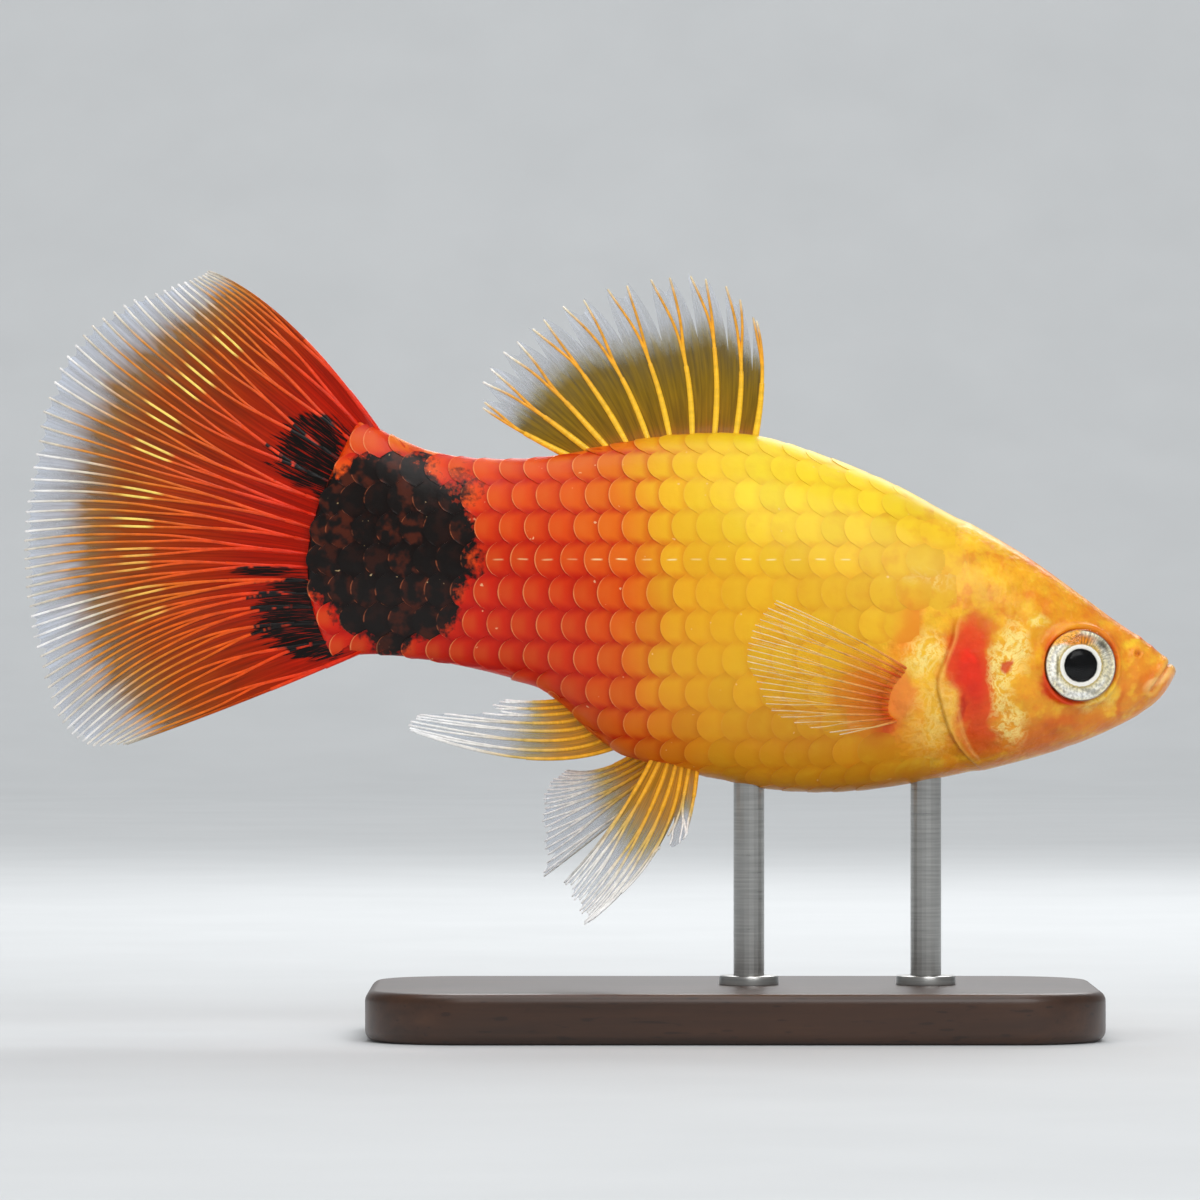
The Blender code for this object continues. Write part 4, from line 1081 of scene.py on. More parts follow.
def pelvicSide(side):
    root, splay, curve = (finPlaces[key] for key in ("pelvicRootSide", "pelvicSplay", "pelvicCurve"))
    return lambda u, v: side * (root + splay * np.maximum(u, 0) ** curve + 0 * v)


def pectoralSide(side):
    knots = np.linspace(0, 1, len(pectoral["guides"]))
    flanks = [abs(float(smoothPoint(root[0], turnAt(*root))[1])) for root, _, _ in pectoral["guides"]]

    def sideways(u, v):
        flank = np.interp(v, knots, flanks) + finPlaces["pectoralRoot"]
        folded = np.exp(-np.maximum(u, -0.05) / finPlaces["standoffReach"])
        standoff = finPlaces["pectoralStandoff"] * (1 - folded)
        return side * (flank + standoff + finPlaces["pectoralSplay"] * u)

    return sideways


def rootedOnBack(guides):
    sink = finPlaces["sink"]
    return [((root[0], float(backUp(root[0])) - sink), middle, tip) for root, middle, tip in guides]


def rootedOnStalk(guides):
    sink = finPlaces["sink"]
    return [((float(stalkEnd(root[1])) - sink, root[1]), middle, tip) for root, middle, tip in guides]


def rootedOnBelly(guides, side):
    made = []
    for root, middle, tip in guides:
        flesh = smoothPoint(root[0], np.linspace(0.0, 0.12, 121))
        up = float(np.interp(side, -flesh[:, 1], flesh[:, 2])) - body["snoutHeight"]
        made.append(((root[0], up + finPlaces["sink"]), middle, tip))
    return made


finShape = {
    "sag": 0.5,  # the web is this much thinner midway between rays, from sagStart outwards
    "sagStart": (0.08, 0.3),
    "sideRoot": 0.3,  # of the root's thickness is left at the fin's two sides
    "filmThinning": 0.5,  # it thins by this much over the outer half
    "filmSpan": (0.5, 1.0),
    "thinnest": 0.014,
    "steps": 34,  # along a whole ray
    "sides": 8,
    "swayWaves": 13,
    "swayDepth": 0.125,
    "swaySpan": (0.1, 0.6),  # where along the ray it sets in
    "overlap": 0.03,  # a branch starts this far inside its stem
    "scatter": (0.05, 0.04),  # of the places of the first and the second fork
    "secondSpread": 0.8,  # of the first fork's
    "shortest": 0.05,  # branch
    "branchWidths": (1.0, 0.76, 0.62),  # of the stem's, unforked and after each fork
    "taper": 0.8,
    "proud": (0.3, 0.02),  # how far rays stand out of the web: of their radius, and in mm
    "pastWeb": 0.004,
    "dashLength": (0.01, 0.11, 0.13),  # full from the first to the second, and gone by the third
    "dashScatter": 0.02,
    "weakDash": 0.5,
}


def tipReach(look, v, draws):
    # how far the web reaches at v: notches between rays, small ones between a ray's tips
    phase = v * (look["rays"] - 1)
    share = phase - np.floor(phase)
    firstNotch, lastNotch = look["notch"]
    depth = firstNotch + (lastNotch - firstNotch) * np.clip(v, 0, 1)
    reach = 1 - depth * np.exp(-np.abs(share - 0.5) / look["notchWidth"])
    inland = smoothStep(np.minimum(phase, look["rays"] - 1 - phase), 0.0, 0.2)
    reach -= look["tipNotch"] * np.abs(np.cos(np.pi * look["tips"] * share)) * inland
    reach -= look["ragged"] * np.interp(phase * look["tips"], np.arange(len(draws)), draws)
    if "gap" in look:
        at, depth, width = look["gap"]
        reach -= depth * np.exp(-(((phase - at) / width) ** 4))
    return reach


def webThickness(look, u, v):
    # half of it: stout at the root, less so at the fin's two sides, and thin as film further out
    rootHalf, webHalf, decay = look["webHalf"]
    least = finShape["sideRoot"]
    stout = rootHalf * (least + (1 - least) * np.sin(np.pi * np.clip(v, 0, 1)) ** 0.5)
    half = webHalf + (stout - webHalf) * np.exp(-np.maximum(u, 0) / decay)
    return half * (1 - finShape["filmThinning"] * smoothStep(u, *finShape["filmSpan"]))


def drawEdge(look, draw):
    # random depths along a fin's ragged edge, which its web and its rays share
    return [draw.random() for _ in range(look["tips"] * look["rays"] + 2)]


def buildWeb(name, look, surface, finish, seed):
    gaps, start = look["rays"] - 1, look["start"]
    v = np.linspace(0, 1, look["perRay"] * gaps + 1)
    reach = tipReach(look, v, drawEdge(look, random.Random(seed)))
    u = start + np.linspace(0, 1, look["rows"] + 1)[:, None] * (reach - start)[None, :]
    wide = np.broadcast_to(v, u.shape)
    centre = surface(u, wide)
    normal = np.cross(np.gradient(centre, axis=1), np.gradient(centre, axis=0))
    normal /= np.maximum(np.linalg.norm(normal, axis=-1, keepdims=True), 1e-9)
    sag = finShape["sag"] / 2 * (1 - np.cos(2 * np.pi * wide * gaps)) * smoothStep(u, *finShape["sagStart"])
    half = np.maximum(webThickness(look, u, wide) * (1 - sag), finShape["thinnest"])[..., None]
    points = np.concatenate([centre + normal * half, centre - normal * half]).reshape(-1, 3)
    marks = {"reach": np.tile(u.ravel(), 2), "across": np.tile(wide.ravel() * gaps, 2)}
    piece = addPiece(name, points, slabFaces(*u.shape), finish, marks, 60)
    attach(piece, "root")
    return piece


def tube(line, radii, depths):
    # a closed bar along a line, ending in a point; depths are its radii across the fin's skin
    sides = finShape["sides"]
    line = np.asarray(line)
    ahead = np.gradient(line, axis=0)
    ahead /= np.linalg.norm(ahead, axis=1, keepdims=True)
    flat = np.cross(ahead, [0.0, 1.0, 0.0])
    flat /= np.linalg.norm(flat, axis=1, keepdims=True)
    out = np.cross(ahead, flat)
    turns = 2 * np.pi * np.arange(sides) / sides
    wide = np.cos(turns)[None, :, None] * flat[:, None, :] * np.asarray(radii)[:, None, None]
    deep = np.sin(turns)[None, :, None] * out[:, None, :] * np.asarray(depths)[:, None, None]
    points = (line[:, None, :] + wide + deep).reshape(-1, 3)
    count = len(points)
    points = np.concatenate([points, line[:1], line[-1:] + ahead[-1:] * radii[-1]])
    faces = [tuple(face) for face in gridFaces(len(line), sides, closed=True)]
    faces += [(count, (i + 1) % sides, i) for i in range(sides)]
    last = count - sides
    faces += [(count + 1, last + i, last + (i + 1) % sides) for i in range(sides)]
    return points, faces


def rayRuns(look, fork, draw):
    # a ray's stem and branches as (start, end, which side of each fork), and where the last ones part
    secondFork = look["forks"][1]
    overlap, scatter = finShape["overlap"], finShape["scatter"][1]
    runs = [(look["start"], fork + overlap, 0, 0)]
    for first in (-1, 1):
        drift = draw.uniform(-scatter, scatter)
        if secondFork is None:
            parting = 1.0
            runs.append((fork, parting, first, 0))
        else:
            parting = secondFork + drift
            runs.append((fork, parting + overlap, first, 0))
            runs += [(parting, 1.0, first, second) for second in (-1, 1)]
    return runs, parting


def dashAlong(look, ray, u, draw):
    # the short gold dash on a twig
    _, _, start, weak = look["dashes"]
    full, fading, gone = finShape["dashLength"]
    start += draw.uniform(-finShape["dashScatter"], finShape["dashScatter"])
    gold = smoothStep(u, start, start + full) * smoothStep(u, start + gone, start + fading)
    return gold * (1.0 if ray < weak else finShape["weakDash"])


def buildRays(name, look, surface, finish, seed):
    draw = random.Random(seed)
    edge = drawEdge(look, draw)
    gaps, spread = look["rays"] - 1, look["spread"]
    thick, thin = look["rayRadius"]
    proudShare, proud = finShape["proud"]
    points, faces, marks = [], [], {key: [] for key in ("reach", "across", "chance", "gold")}
    total = 0
    for ray in range(look["rays"]):
        hue = draw.random()
        phase0 = draw.uniform(0, 6.28)
        fork = look["forks"][0] + draw.uniform(-finShape["scatter"][0], finShape["scatter"][0])
        golden = draw.choice((-1, 1))
        runs, parting = rayRuns(look, fork, draw)
        for start, end, first, second in runs:
            u = np.linspace(start, end, max(int((end - start) * finShape["steps"]), 4))
            shift = first / 4 * smoothStep(u, fork, fork + spread)
            apart = finShape["secondSpread"] * spread
            shift = shift + second / 8 * smoothStep(u, parting, parting + apart)
            sway = look["wiggle"] * finShape["swayDepth"] * np.sin(u * finShape["swayWaves"] + phase0)
            phase = np.clip(ray + shift + sway * smoothStep(u, *finShape["swaySpan"]), 0, gaps)
            v = phase / gaps
            if end == 1.0:
                tip = float(tipReach(look, v[-1:], edge)[0]) + finShape["pastWeb"]
                length = max(tip, start + finShape["shortest"]) - start
                u = start + (u - start) / (end - start) * length
            radius = thick + (thin - thick) * np.clip(u, 0, 1) ** finShape["taper"]
            radius = radius * finShape["branchWidths"][abs(first) + abs(second)]
            depth = np.maximum(webThickness(look, u, v) + proudShare * radius + proud, radius)
            made, bars = tube(surface(u, v), radius, depth)
            points.append(made)
            faces += [tuple(index + total for index in face) for face in bars]
            total += len(made)
            gold = np.zeros(len(u))
            if second and first == golden and "dashes" in look and ray in range(*look["dashes"][:2]):
                gold = dashAlong(look, ray, u, draw)
            for key, values in zip(marks, (u, phase, np.full(len(u), hue), gold)):
                marks[key].append(np.append(np.repeat(values, finShape["sides"]), [values[0], values[-1]]))
    joined = {key: np.concatenate(values) for key, values in marks.items()}
    piece = addPiece(name, np.concatenate(points), faces, finish, joined, 60)
    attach(piece, "root")
    return piece


wetFin = {"Roughness": 0.35, "Coat Roughness": 0.1, "Specular IOR Level": 0.3}
jointsPerRay = 40


def fibreNoise(tree, fibre, alongAndAcross, scale, detail):
    # noise stretched along the rays
    stretched = addNode(tree, "VectorMath", [fibre, (*alongAndAcross, 1.0)], operation="MULTIPLY")
    return addNode(tree, "TexNoise", {"Vector": stretched, "Scale": scale, "Detail": detail})


def finSpotMask(tree, where, fibre, spots):
    # black spots whose edges run out in streaks along the rays
    noise = fibreNoise(tree, fibre, (7.0, 9.0), 1.3, 3.0)
    drift = addNode(tree, "Math", [noise, 5.0, -2.5], operation="MULTIPLY_ADD")
    along = addNode(tree, "CombineXYZ", [drift])
    moved = addNode(tree, "VectorMath", [fishPlaceOf(tree, where), along], operation="ADD")
    solid = addNode(tree, "MapRange", [softMasks(tree, moved, spots), 0.35, 0.6])
    # thin red lines run through the black
    kept = addNode(tree, "MapRange", [fibreNoise(tree, fibre, (9.0, 22.0), 1.0, 2.0), 0.55, 0.66, 1.0, 0.25])
    return addNode(tree, "Math", [solid, kept], operation="MULTIPLY")


def makeFinWebFinish(name, look, spots):
    # fin skin stretched between rays: coloured and cloudy at its root, clear as wet film at its edge
    finish, tree, shader, where = newFinish(name, wetFin | {"IOR": 1.4, "Coat Weight": 0.1})
    reach, across = readMarks(tree, "reach across")
    fibre = addNode(tree, "CombineXYZ", [reach, across])
    noise = fibreNoise(tree, fibre, (5.0, 3.2), 1.6, 4.0)
    shifted = addNode(tree, "Math", [noise, look["streak"], -look["streak"] / 2], operation="MULTIPLY_ADD")
    reached = addNode(tree, "Math", [shifted, reach], operation="ADD")
    colour, veil = (setStops(addNode(tree, "ValToRGB", [reached]), look[key]) for key in ("web", "veil"))
    tone = addNode(tree, "MapRange", [fibreNoise(tree, fibre, (2.0, 6.0), 1.5, 3.0), 0.3, 0.7, 0.6, 1.25])
    colour = addNode(tree, "HueSaturation", {"Color": colour, "Value": tone})
    # streaks thin the web only where it is clear already
    thin = addNode(tree, "Math", [1.0, veil], operation="SUBTRACT")
    streaks = addNode(tree, "Math", [tone, 1.0], operation="SUBTRACT")
    alpha = addNode(tree, "Math", [thin, streaks, veil], operation="MULTIPLY_ADD", use_clamp=True)
    if spots:
        dark = finSpotMask(tree, where, fibre, spots)
        colour = paintLayers(tree, colour, [(dark, "#17110F")])
        alpha = addNode(tree, "Math", [alpha, dark], operation="MAXIMUM")
    fillSockets(shader, {"Base Color": colour})
    through = addNode(tree, "BsdfTranslucent", {"Color": colour})
    lit = addNode(tree, "MixShader", [0.35, shader.outputs[0], through])
    seen = addNode(tree, "MixShader", [alpha, addNode(tree, "BsdfTransparent"), lit])
    fillSockets(tree.nodes["Material Output"], {"Surface": seen})
    return finish


def makeRayFinish(name, look, spots):
    # bony fin rays: jointed rods with a wet light along them, paler than the web
    finish, tree, shader, where = newFinish(name, wetFin | {"IOR": 1.5, "Coat Weight": 0.15})
    reach, across, chance, gold = readMarks(tree, "reach across chance gold")
    shifted = addNode(tree, "Math", [chance, 0.16, reach], operation="MULTIPLY_ADD")
    moved = addNode(tree, "Math", [shifted, 0.08], operation="SUBTRACT")
    colour = setStops(addNode(tree, "ValToRGB", [moved]), look["rays"])
    colour = paintLayers(tree, colour, [(gold, "#FFDE6A")])
    fibre = addNode(tree, "CombineXYZ", [reach, across])
    tone = addNode(tree, "MapRange", [fibreNoise(tree, fibre, (16.0, 5.0), 1.2, 3.0), 0.3, 0.7, 0.8, 1.15])
    colour = addNode(tree, "HueSaturation", {"Color": colour, "Value": tone})
    alpha = setStops(addNode(tree, "ValToRGB", [reach]), look["rayVeil"])
    if spots:
        colour = paintLayers(tree, colour, [(finSpotMask(tree, where, fibre, spots), "#0A0605")])
    # a ray's joints lie about 0.35 mm apart
    beat = addNode(tree, "Math", [reach, 2 * math.pi * jointsPerRay], operation="MULTIPLY")
    joints = addNode(tree, "Math", [beat], operation="SINE")
    relief = addNode(tree, "Bump", {"Height": joints, "Distance": 0.02 * mm, "Strength": 0.18})
    fillSockets(shader, {"Base Color": colour, "Alpha": alpha, "Normal": relief})
    return finish


# stops run from a fin's root to its edge; the web's are shifted by the streaks
finLooks = {
    "caudal": {
        "slot": "red_fin",
        "streak": 0.16,
        "web": [(0.0, "#BC1600"), (0.25, "#B82204"), (0.45, "#AE3404"), (0.65, "#A0480A"), (0.78, "#94682E"),
                (0.87, "#B4B2B8"), (1.0, "#C8D0DE")],
        "veil": [(0.0, 1.0), (0.4, 0.97), (0.66, 0.9), (0.8, 0.72), (0.9, 0.5), (1.0, 0.4)],
        "rays": [(0.0, "#DA2402"), (0.2, "#E23804"), (0.42, "#E0540A"), (0.6, "#DC6C10"), (0.76, "#D48A30"),
                 (0.86, "#D8CDB8"), (1.0, "#F8F6F4")],
        "rayVeil": [(0.0, 1.0), (0.85, 1.0), (1.0, 0.85)],
    },
    "dorsal": {
        "slot": "yellow_fin",
        "streak": 0.12,
        "web": [(0.0, "#B87414"), (0.1, "#9C7412"), (0.3, "#967612"), (0.48, "#8A701A"), (0.58, "#90845A"),
                (0.68, "#B2B4B8"), (1.0, "#CCD2DC")],
        "veil": [(0.0, 0.96), (0.3, 0.92), (0.5, 0.82), (0.6, 0.52), (0.8, 0.38), (1.0, 0.32)],
        "rays": [(0.0, "#FACA30"), (0.35, "#F8BE2A"), (0.6, "#F0A626"), (0.8, "#E0A040"), (0.93, "#E4D4B0"),
                 (1.0, "#F4F0E8")],
        "rayVeil": [(0.0, 1.0), (0.9, 1.0), (1.0, 0.9)],
    },
    "lower": {
        "slot": "yellow_fin",
        "streak": 0.12,
        "web": [(0.0, "#D8921C"), (0.3, "#C48E22"), (0.48, "#A89454"), (0.62, "#B0B4BC"), (1.0, "#C0C8D4")],
        "veil": [(0.0, 0.95), (0.3, 0.8), (0.48, 0.6), (0.65, 0.38), (1.0, 0.34)],
        "rays": [(0.0, "#F0A818"), (0.3, "#EEAE2A"), (0.5, "#D8B868"), (0.68, "#E8E4DC"), (1.0, "#FAFAFA")],
        "rayVeil": [(0.0, 1.0), (0.9, 1.0), (1.0, 0.9)],
    },
    "pectoral": {
        "slot": "clear_fin",
        "streak": 0.12,
        "web": [(0.0, "#E06A20"), (0.15, "#E88A30"), (0.35, "#EAB058"), (0.6, "#E8C888"), (1.0, "#E8DCC0")],
        "veil": [(0.0, 0.3), (0.15, 0.1), (0.35, 0.03), (0.7, 0.015), (1.0, 0.02)],
        "rays": [(0.0, "#E8622A"), (0.2, "#F0A050"), (0.45, "#F4C878"), (0.75, "#F6DCA4"), (1.0, "#FAF0D8")],
        "rayVeil": [(0.0, 0.85), (0.4, 0.5), (0.8, 0.38), (1.0, 0.32)],
    },
}


def buildFins():
    finishes = {}
    for label, look in finLooks.items():
        spots = markings["finSpots"] if label == "caudal" else ()
        webFinish = makeFinWebFinish(f"{label} fin skin", look, spots)
        finishes[label] = webFinish, makeRayFinish(f"{label} fin ray", look, spots)
    beside = finPlaces["pelvicRootSide"]
    plans = [
        ("caudal_fin", caudal, rootedOnStalk(caudal["guides"]), flatWave(*finPlaces["caudalWave"]), "caudal"),
        ("dorsal_fin", dorsal, rootedOnBack(dorsal["guides"]), flatWave(*finPlaces["dorsalWave"]), "dorsal"),
        ("anal_fin", anal, rootedOnBelly(anal["guides"], 0.0), flatWave(0.0, 1.0), "lower"),
    ]
    for word, side, look in (("right", rightSide, pelvicRight), ("left", leftSide, pelvicLeft)):
        guides = rootedOnBelly(look["guides"], beside)
        plans.append((f"pelvic_fin_{word}", look, guides, pelvicSide(side), "lower"))
    for word, side in (("right", rightSide), ("left", leftSide)):
        plans.append((f"pectoral_fin_{word}", pectoral, pectoral["guides"], pectoralSide(side), "pectoral"))
    for seed, (node, look, guides, sideways, label) in enumerate(plans, 101):
        surface = finSurface(guides, sideways)
        webFinish, rayFinish = finishes[label]
        web = buildWeb(f"{node}_web", look, surface, webFinish, seed)
        rays = buildRays(f"{node}_rays", look, surface, rayFinish, seed)
        for piece in (web, rays):
            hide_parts(node)
    print("fins built")


buildFins()

eye = {
    "lean": 0.25,  # how far the disc turns in with the head's taper, sideways for each step forwards
    "sink": 0.02,
    "segments": 96,
    # (radius, how far out of the flank), from the ball's back to the pupil's rim
    "ball": [
        (0.0, -0.95), (0.6, -0.9), (1.2, -0.7), (1.6, -0.38), (1.8, 0.0), (1.84, 0.18), (1.8, 0.31),
        (1.7, 0.36), (1.5, 0.39), (1.2, 0.43), (0.98, 0.455), (0.9, 0.44), (0.87, 0.38), (0.85, 0.2),
        (0.0, 0.12),
    ],
    "lens": [
        (0.0, 0.1), (0.7, 0.14), (0.84, 0.25), (0.85, 0.36), (0.8, 0.45), (0.62, 0.54), (0.35, 0.595),
        (0.0, 0.61),
    ],
    "cornea": [
        (0.0, 0.62), (0.5, 0.605), (1.0, 0.55), (1.4, 0.46), (1.7, 0.34), (1.86, 0.2), (1.885, 0.22),
        (1.73, 0.39), (1.42, 0.52), (1.0, 0.62), (0.5, 0.68), (0.0, 0.7),
    ],
    "rings": [
        (0.0, "#060606"), (0.84, "#0A0908"), (0.89, "#FFFDF4"), (1.06, "#FFFDF6"), (1.11, "#C4AC58"),
        (1.25, "#F0E8C8"), (1.45, "#F8F6EC"), (1.58, "#DCD4BC"), (1.68, "#FCF4D4"), (1.77, "#FFFAE4"),
        (1.82, "#8A5A2C"), (1.9, "#3A1A0C"),
    ],
    "ringSpan": 2.0,
    "whiteRing": (1.06, 1.14),  # the patches and flecks start outside it
    # x runs to the snout and z up from the pupil's middle
    "patches": [
        ("#E88E04", -0.15, 1.3, 1.0, 0.34, 0, 0.5, 1.0), ("#9A3410", -0.5, 1.45, 0.75, 0.13, -18, 0.7, 0.8),
        ("#F6AC10", -0.7, 1.5, 1.1, 0.24, -28, 0.5, 0.95), ("#3A3420", 1.15, 1.05, 0.5, 0.24, 45, 0.9, 0.85),
        ("#84742C", -1.22, -0.1, 0.1, 0.8, 0, 0.8, 0.85), ("#FFFCF2", -1.48, -0.2, 0.2, 0.9, 5, 0.7, 0.95),
        ("#7E7C6E", 0.5, -1.3, 0.8, 0.16, 20, 0.9, 0.55), ("#E8B42A", 0.7, 0.85, 0.45, 0.3, 45, 0.8, 0.7),
        ("#FFFFFA", -0.1, -1.55, 1.1, 0.18, 3, 0.7, 0.85), ("#C8BC80", 1.38, -0.2, 0.2, 0.9, 0, 0.8, 0.5),
    ],
    "streaked": (0.75, 1.15, 1.1, 0.75, 25, 0.4, 1.0),  # streaks show above the pupil and to the snout
}


def turnedPiece(name, profile, centre, side, finish):
    # a profile of (radius, outwards) turned about the line across the fish
    count = eye["segments"]
    turns = 2 * np.pi * np.arange(count) / count
    rings = [pair for pair in profile if pair[0] > 0]
    points = np.concatenate([
        np.stack([r * np.cos(turns), side * (out - eye["lean"] * r * np.cos(turns)), r * np.sin(turns)], -1)
        for r, out in rings
    ]) + centre
    faces = gridFaces(len(rings), count, closed=True)[:, ::-1].tolist()
    for ring, (_, out) in ((0, profile[0]), (len(rings) - 1, profile[-1])):
        points = np.concatenate([points, [[centre[0], centre[1] + side * out, centre[2]]]])
        for i in range(count):
            face = (len(points) - 1, ring * count + i, ring * count + (i + 1) % count)
            faces.append(face[::-1] if ring == 0 else face)
    piece = addPiece(name, points, faces, finish, sharpAngle=35)
    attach(piece, "root")
    return piece


def smoothProfile(profile, steps=3):
    # more points along a profile, on a smooth curve
    places = np.arange(len(profile))
    fine = np.linspace(0, len(profile) - 1, steps * (len(profile) - 1) + 1)
    radii, outs = (spline(list(zip(places, values)))(fine) for values in zip(*profile))
    pairs = [(float(r), float(out)) for r, out in zip(radii, outs)][1:-1]
    return [profile[0]] + [pair for pair in pairs if pair[0] > 0.02] + [profile[-1]]


def makeIrisFinish():
    # guanine crystals in the iris: metal-bright silver and gold, brushed outwards, under the cornea
    finish, tree, shader, where = newFinish("silver iris", {"Roughness": 0.32, "Metallic": 0.05})
    back, up = skin["eyePlace"]
    fromPupil = [where, (1 / mm, 0, 1 / mm), (back - body["length"] / 2, 0, -up - body["snoutHeight"])]
    local = addNode(tree, "VectorMath", fromPupil, operation="MULTIPLY_ADD")
    reach = addNode(tree, "VectorMath", [local], operation="LENGTH")
    outwards = addNode(tree, "VectorMath", [local], operation="NORMALIZE")
    streaks = addNode(tree, "TexNoise", {"Vector": outwards, "Scale": 16.0, "Detail": 3.0})
    flecks = addNode(tree, "TexNoise", {"Vector": local, "Scale": 6.5, "Detail": 5.0})
    wobble = addNode(tree, "Math", [flecks, 0.1, -0.05], operation="MULTIPLY_ADD")
    uneven = addNode(tree, "Math", [reach, wobble], operation="ADD")
    shrunk = addNode(tree, "Math", [uneven, eye["ringSpan"]], operation="DIVIDE")
    colour = setStops(addNode(tree, "ValToRGB", [shrunk]), eye["rings"], eye["ringSpan"])
    painted = paintPatches(tree, colour, local, eye["patches"])
    middle = addNode(tree, "MapRange", [reach, *eye["whiteRing"]])
    colour = paintLayers(tree, colour, [(middle, painted)])
    tone = addNode(tree, "MapRange", [streaks, 0.35, 0.65, 0.5, 1.15])
    tone = addNode(tree, "Mix", [softMasks(tree, local, [eye["streaked"]]), 1.0, tone], data_type="FLOAT")
    speckle = addNode(tree, "MapRange", [flecks, 0.35, 0.6, 0.62, 1.14])
    both = addNode(tree, "Math", [tone, speckle], operation="MULTIPLY")
    level = addNode(tree, "Mix", [middle, 1.0, both], data_type="FLOAT")
    toned = addNode(tree, "HueSaturation", {"Color": colour, "Value": level})
    relief = addNode(tree, "Bump", {"Height": streaks, "Distance": 0.03 * mm, "Strength": 0.4})
    fillSockets(shader, {"Base Color": toned, "Normal": relief})
    return finish


def makeLensFinish():
    # the lens shows black: a deep pupil with one clean highlight
    surface = {"Roughness": 0.2, "IOR": 1.38, "Specular IOR Level": 0.25}
    finish, tree, shader, where = newFinish("black pupil", surface)
    cloud = addNode(tree, "TexNoise", {"Vector": where, "Scale": 0.9 / mm})
    shade = setStops(addNode(tree, "ValToRGB", [cloud]), [(0.3, "#040405"), (0.8, "#0C0D10")])
    fillSockets(shader, {"Base Color": shade})
    return finish


def makeCorneaFinish():
    # clear cornea: only its wet shine shows, as weak as in water
    finish = bpy.data.materials.new("clear cornea")
    finish.use_nodes = True
    tree = finish.node_tree
    tree.nodes.remove(tree.nodes["Principled BSDF"])
    edge = addNode(tree, "Fresnel", {"IOR": 1.2})
    shine = addNode(tree, "BsdfAnisotropic", {"Roughness": 0.03})
    seen = addNode(tree, "MixShader", [edge, addNode(tree, "BsdfTransparent"), shine])
    fillSockets(tree.nodes["Material Output"], {"Surface": seen})
    return finish


def buildEyes():
    back, up = skin["eyePlace"]
    parts = (
        ("iris", "ball", makeIrisFinish()), ("pupil", "lens", makeLensFinish()),
        ("cornea", "cornea", makeCorneaFinish()),
    )
    for side, word in ((rightSide, "right"), (leftSide, "left")):
        centre = place(back, up, side * (float(halfWidth(back)) - eye["sink"]))
        for part, profile, finish in parts:
            piece = turnedPiece(f"eye_{word}_{part}", smoothProfile(eye[profile]), centre, side, finish)
            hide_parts(f"eye_{word}")
    print("eyes built")


buildEyes()

stand = {
    "rodRadius": 0.8, "rodBacks": (13.0, 22.2), "collarHeight": 0.5, "collarRadius": 1.55,
    "collarSides": 64, "collarEdge": (0.12, 0.04),  # its rim is broken by two small steps
    "clearance": 0.01,
    "baseSize": (38.0, 22.0, 2.6), "baseCentre": 7.0, "corner": 5.0, "edge": 0.55,
    "cornerSteps": 20, "edgeSteps": 6,
    "grain": (100 / 9, 0.7),  # length and width of its streaks
    "flecksPerMm": (0.7, 3.8), "ringsPerMm": (0.4, 9.0),  # along and across; the steel's are ground in
    "stain": [(0.2, "#2A1A10"), (0.5, "#3B2416"), (0.8, "#4A2F1D")],
}


def makeBeechFinish():
    # beech, sawn flat, dark stained and lacquered satin: fine dark flecks along the grain, soft shine
    surface = {"Roughness": 0.42, "IOR": 1.5, "Coat Weight": 0.3, "Coat Roughness": 0.25}
    finish, tree, shader, where = newFinish("dark stained beech", surface)
    along, across = (1 / (size * mm) for size in stand["grain"])
    grain = addNode(tree, "Mapping", {"Vector": where, "Scale": (along, across, across)})
    figure = addNode(tree, "TexNoise", {"Vector": grain, "Scale": 0.8, "Detail": 5.0, "Roughness": 0.6})
    colour = setStops(addNode(tree, "ValToRGB", [figure]), stand["stain"])
    # ray flecks of beech, short and dark
    along, across = (count / mm for count in stand["flecksPerMm"])
    fleckPlace = addNode(tree, "Mapping", {"Vector": where, "Scale": (along, across, across)})
    fleck = addNode(tree, "TexNoise", {"Vector": fleckPlace, "Scale": 1.0, "Detail": 1.0})
    flecks = addNode(tree, "MapRange", [fleck, 0.64, 0.72, 0.0, 0.55])
    colour = paintLayers(tree, colour, [(flecks, "#1A0F09")])
    relief = addNode(tree, "Bump", {"Height": figure, "Distance": 0.03 * mm, "Strength": 0.3})
    fillSockets(shader, {"Base Color": colour, "Normal": relief})
    return finish


def makeSteelFinish():
    # ground steel rod: fine rings left by the wheel, so its light spreads along the rod
    finish, tree, shader, where = newFinish("ground steel", {"Metallic": 1.0, "Roughness": 0.3})
    around, up = (count / mm for count in stand["ringsPerMm"])
    lay = addNode(tree, "Mapping", {"Vector": where, "Scale": (around, around, up)})
    noise = addNode(tree, "TexNoise", {"Vector": lay, "Scale": 1.0, "Detail": 3.0})
    colour = setStops(addNode(tree, "ValToRGB", [noise]), [(0.2, "#A8A8A6"), (0.8, "#CFCFCC")])
    rough = addNode(tree, "MapRange", [noise, 0.0, 1.0, 0.22, 0.42])
    fillSockets(shader, {"Base Color": colour, "Roughness": rough})
    return finish


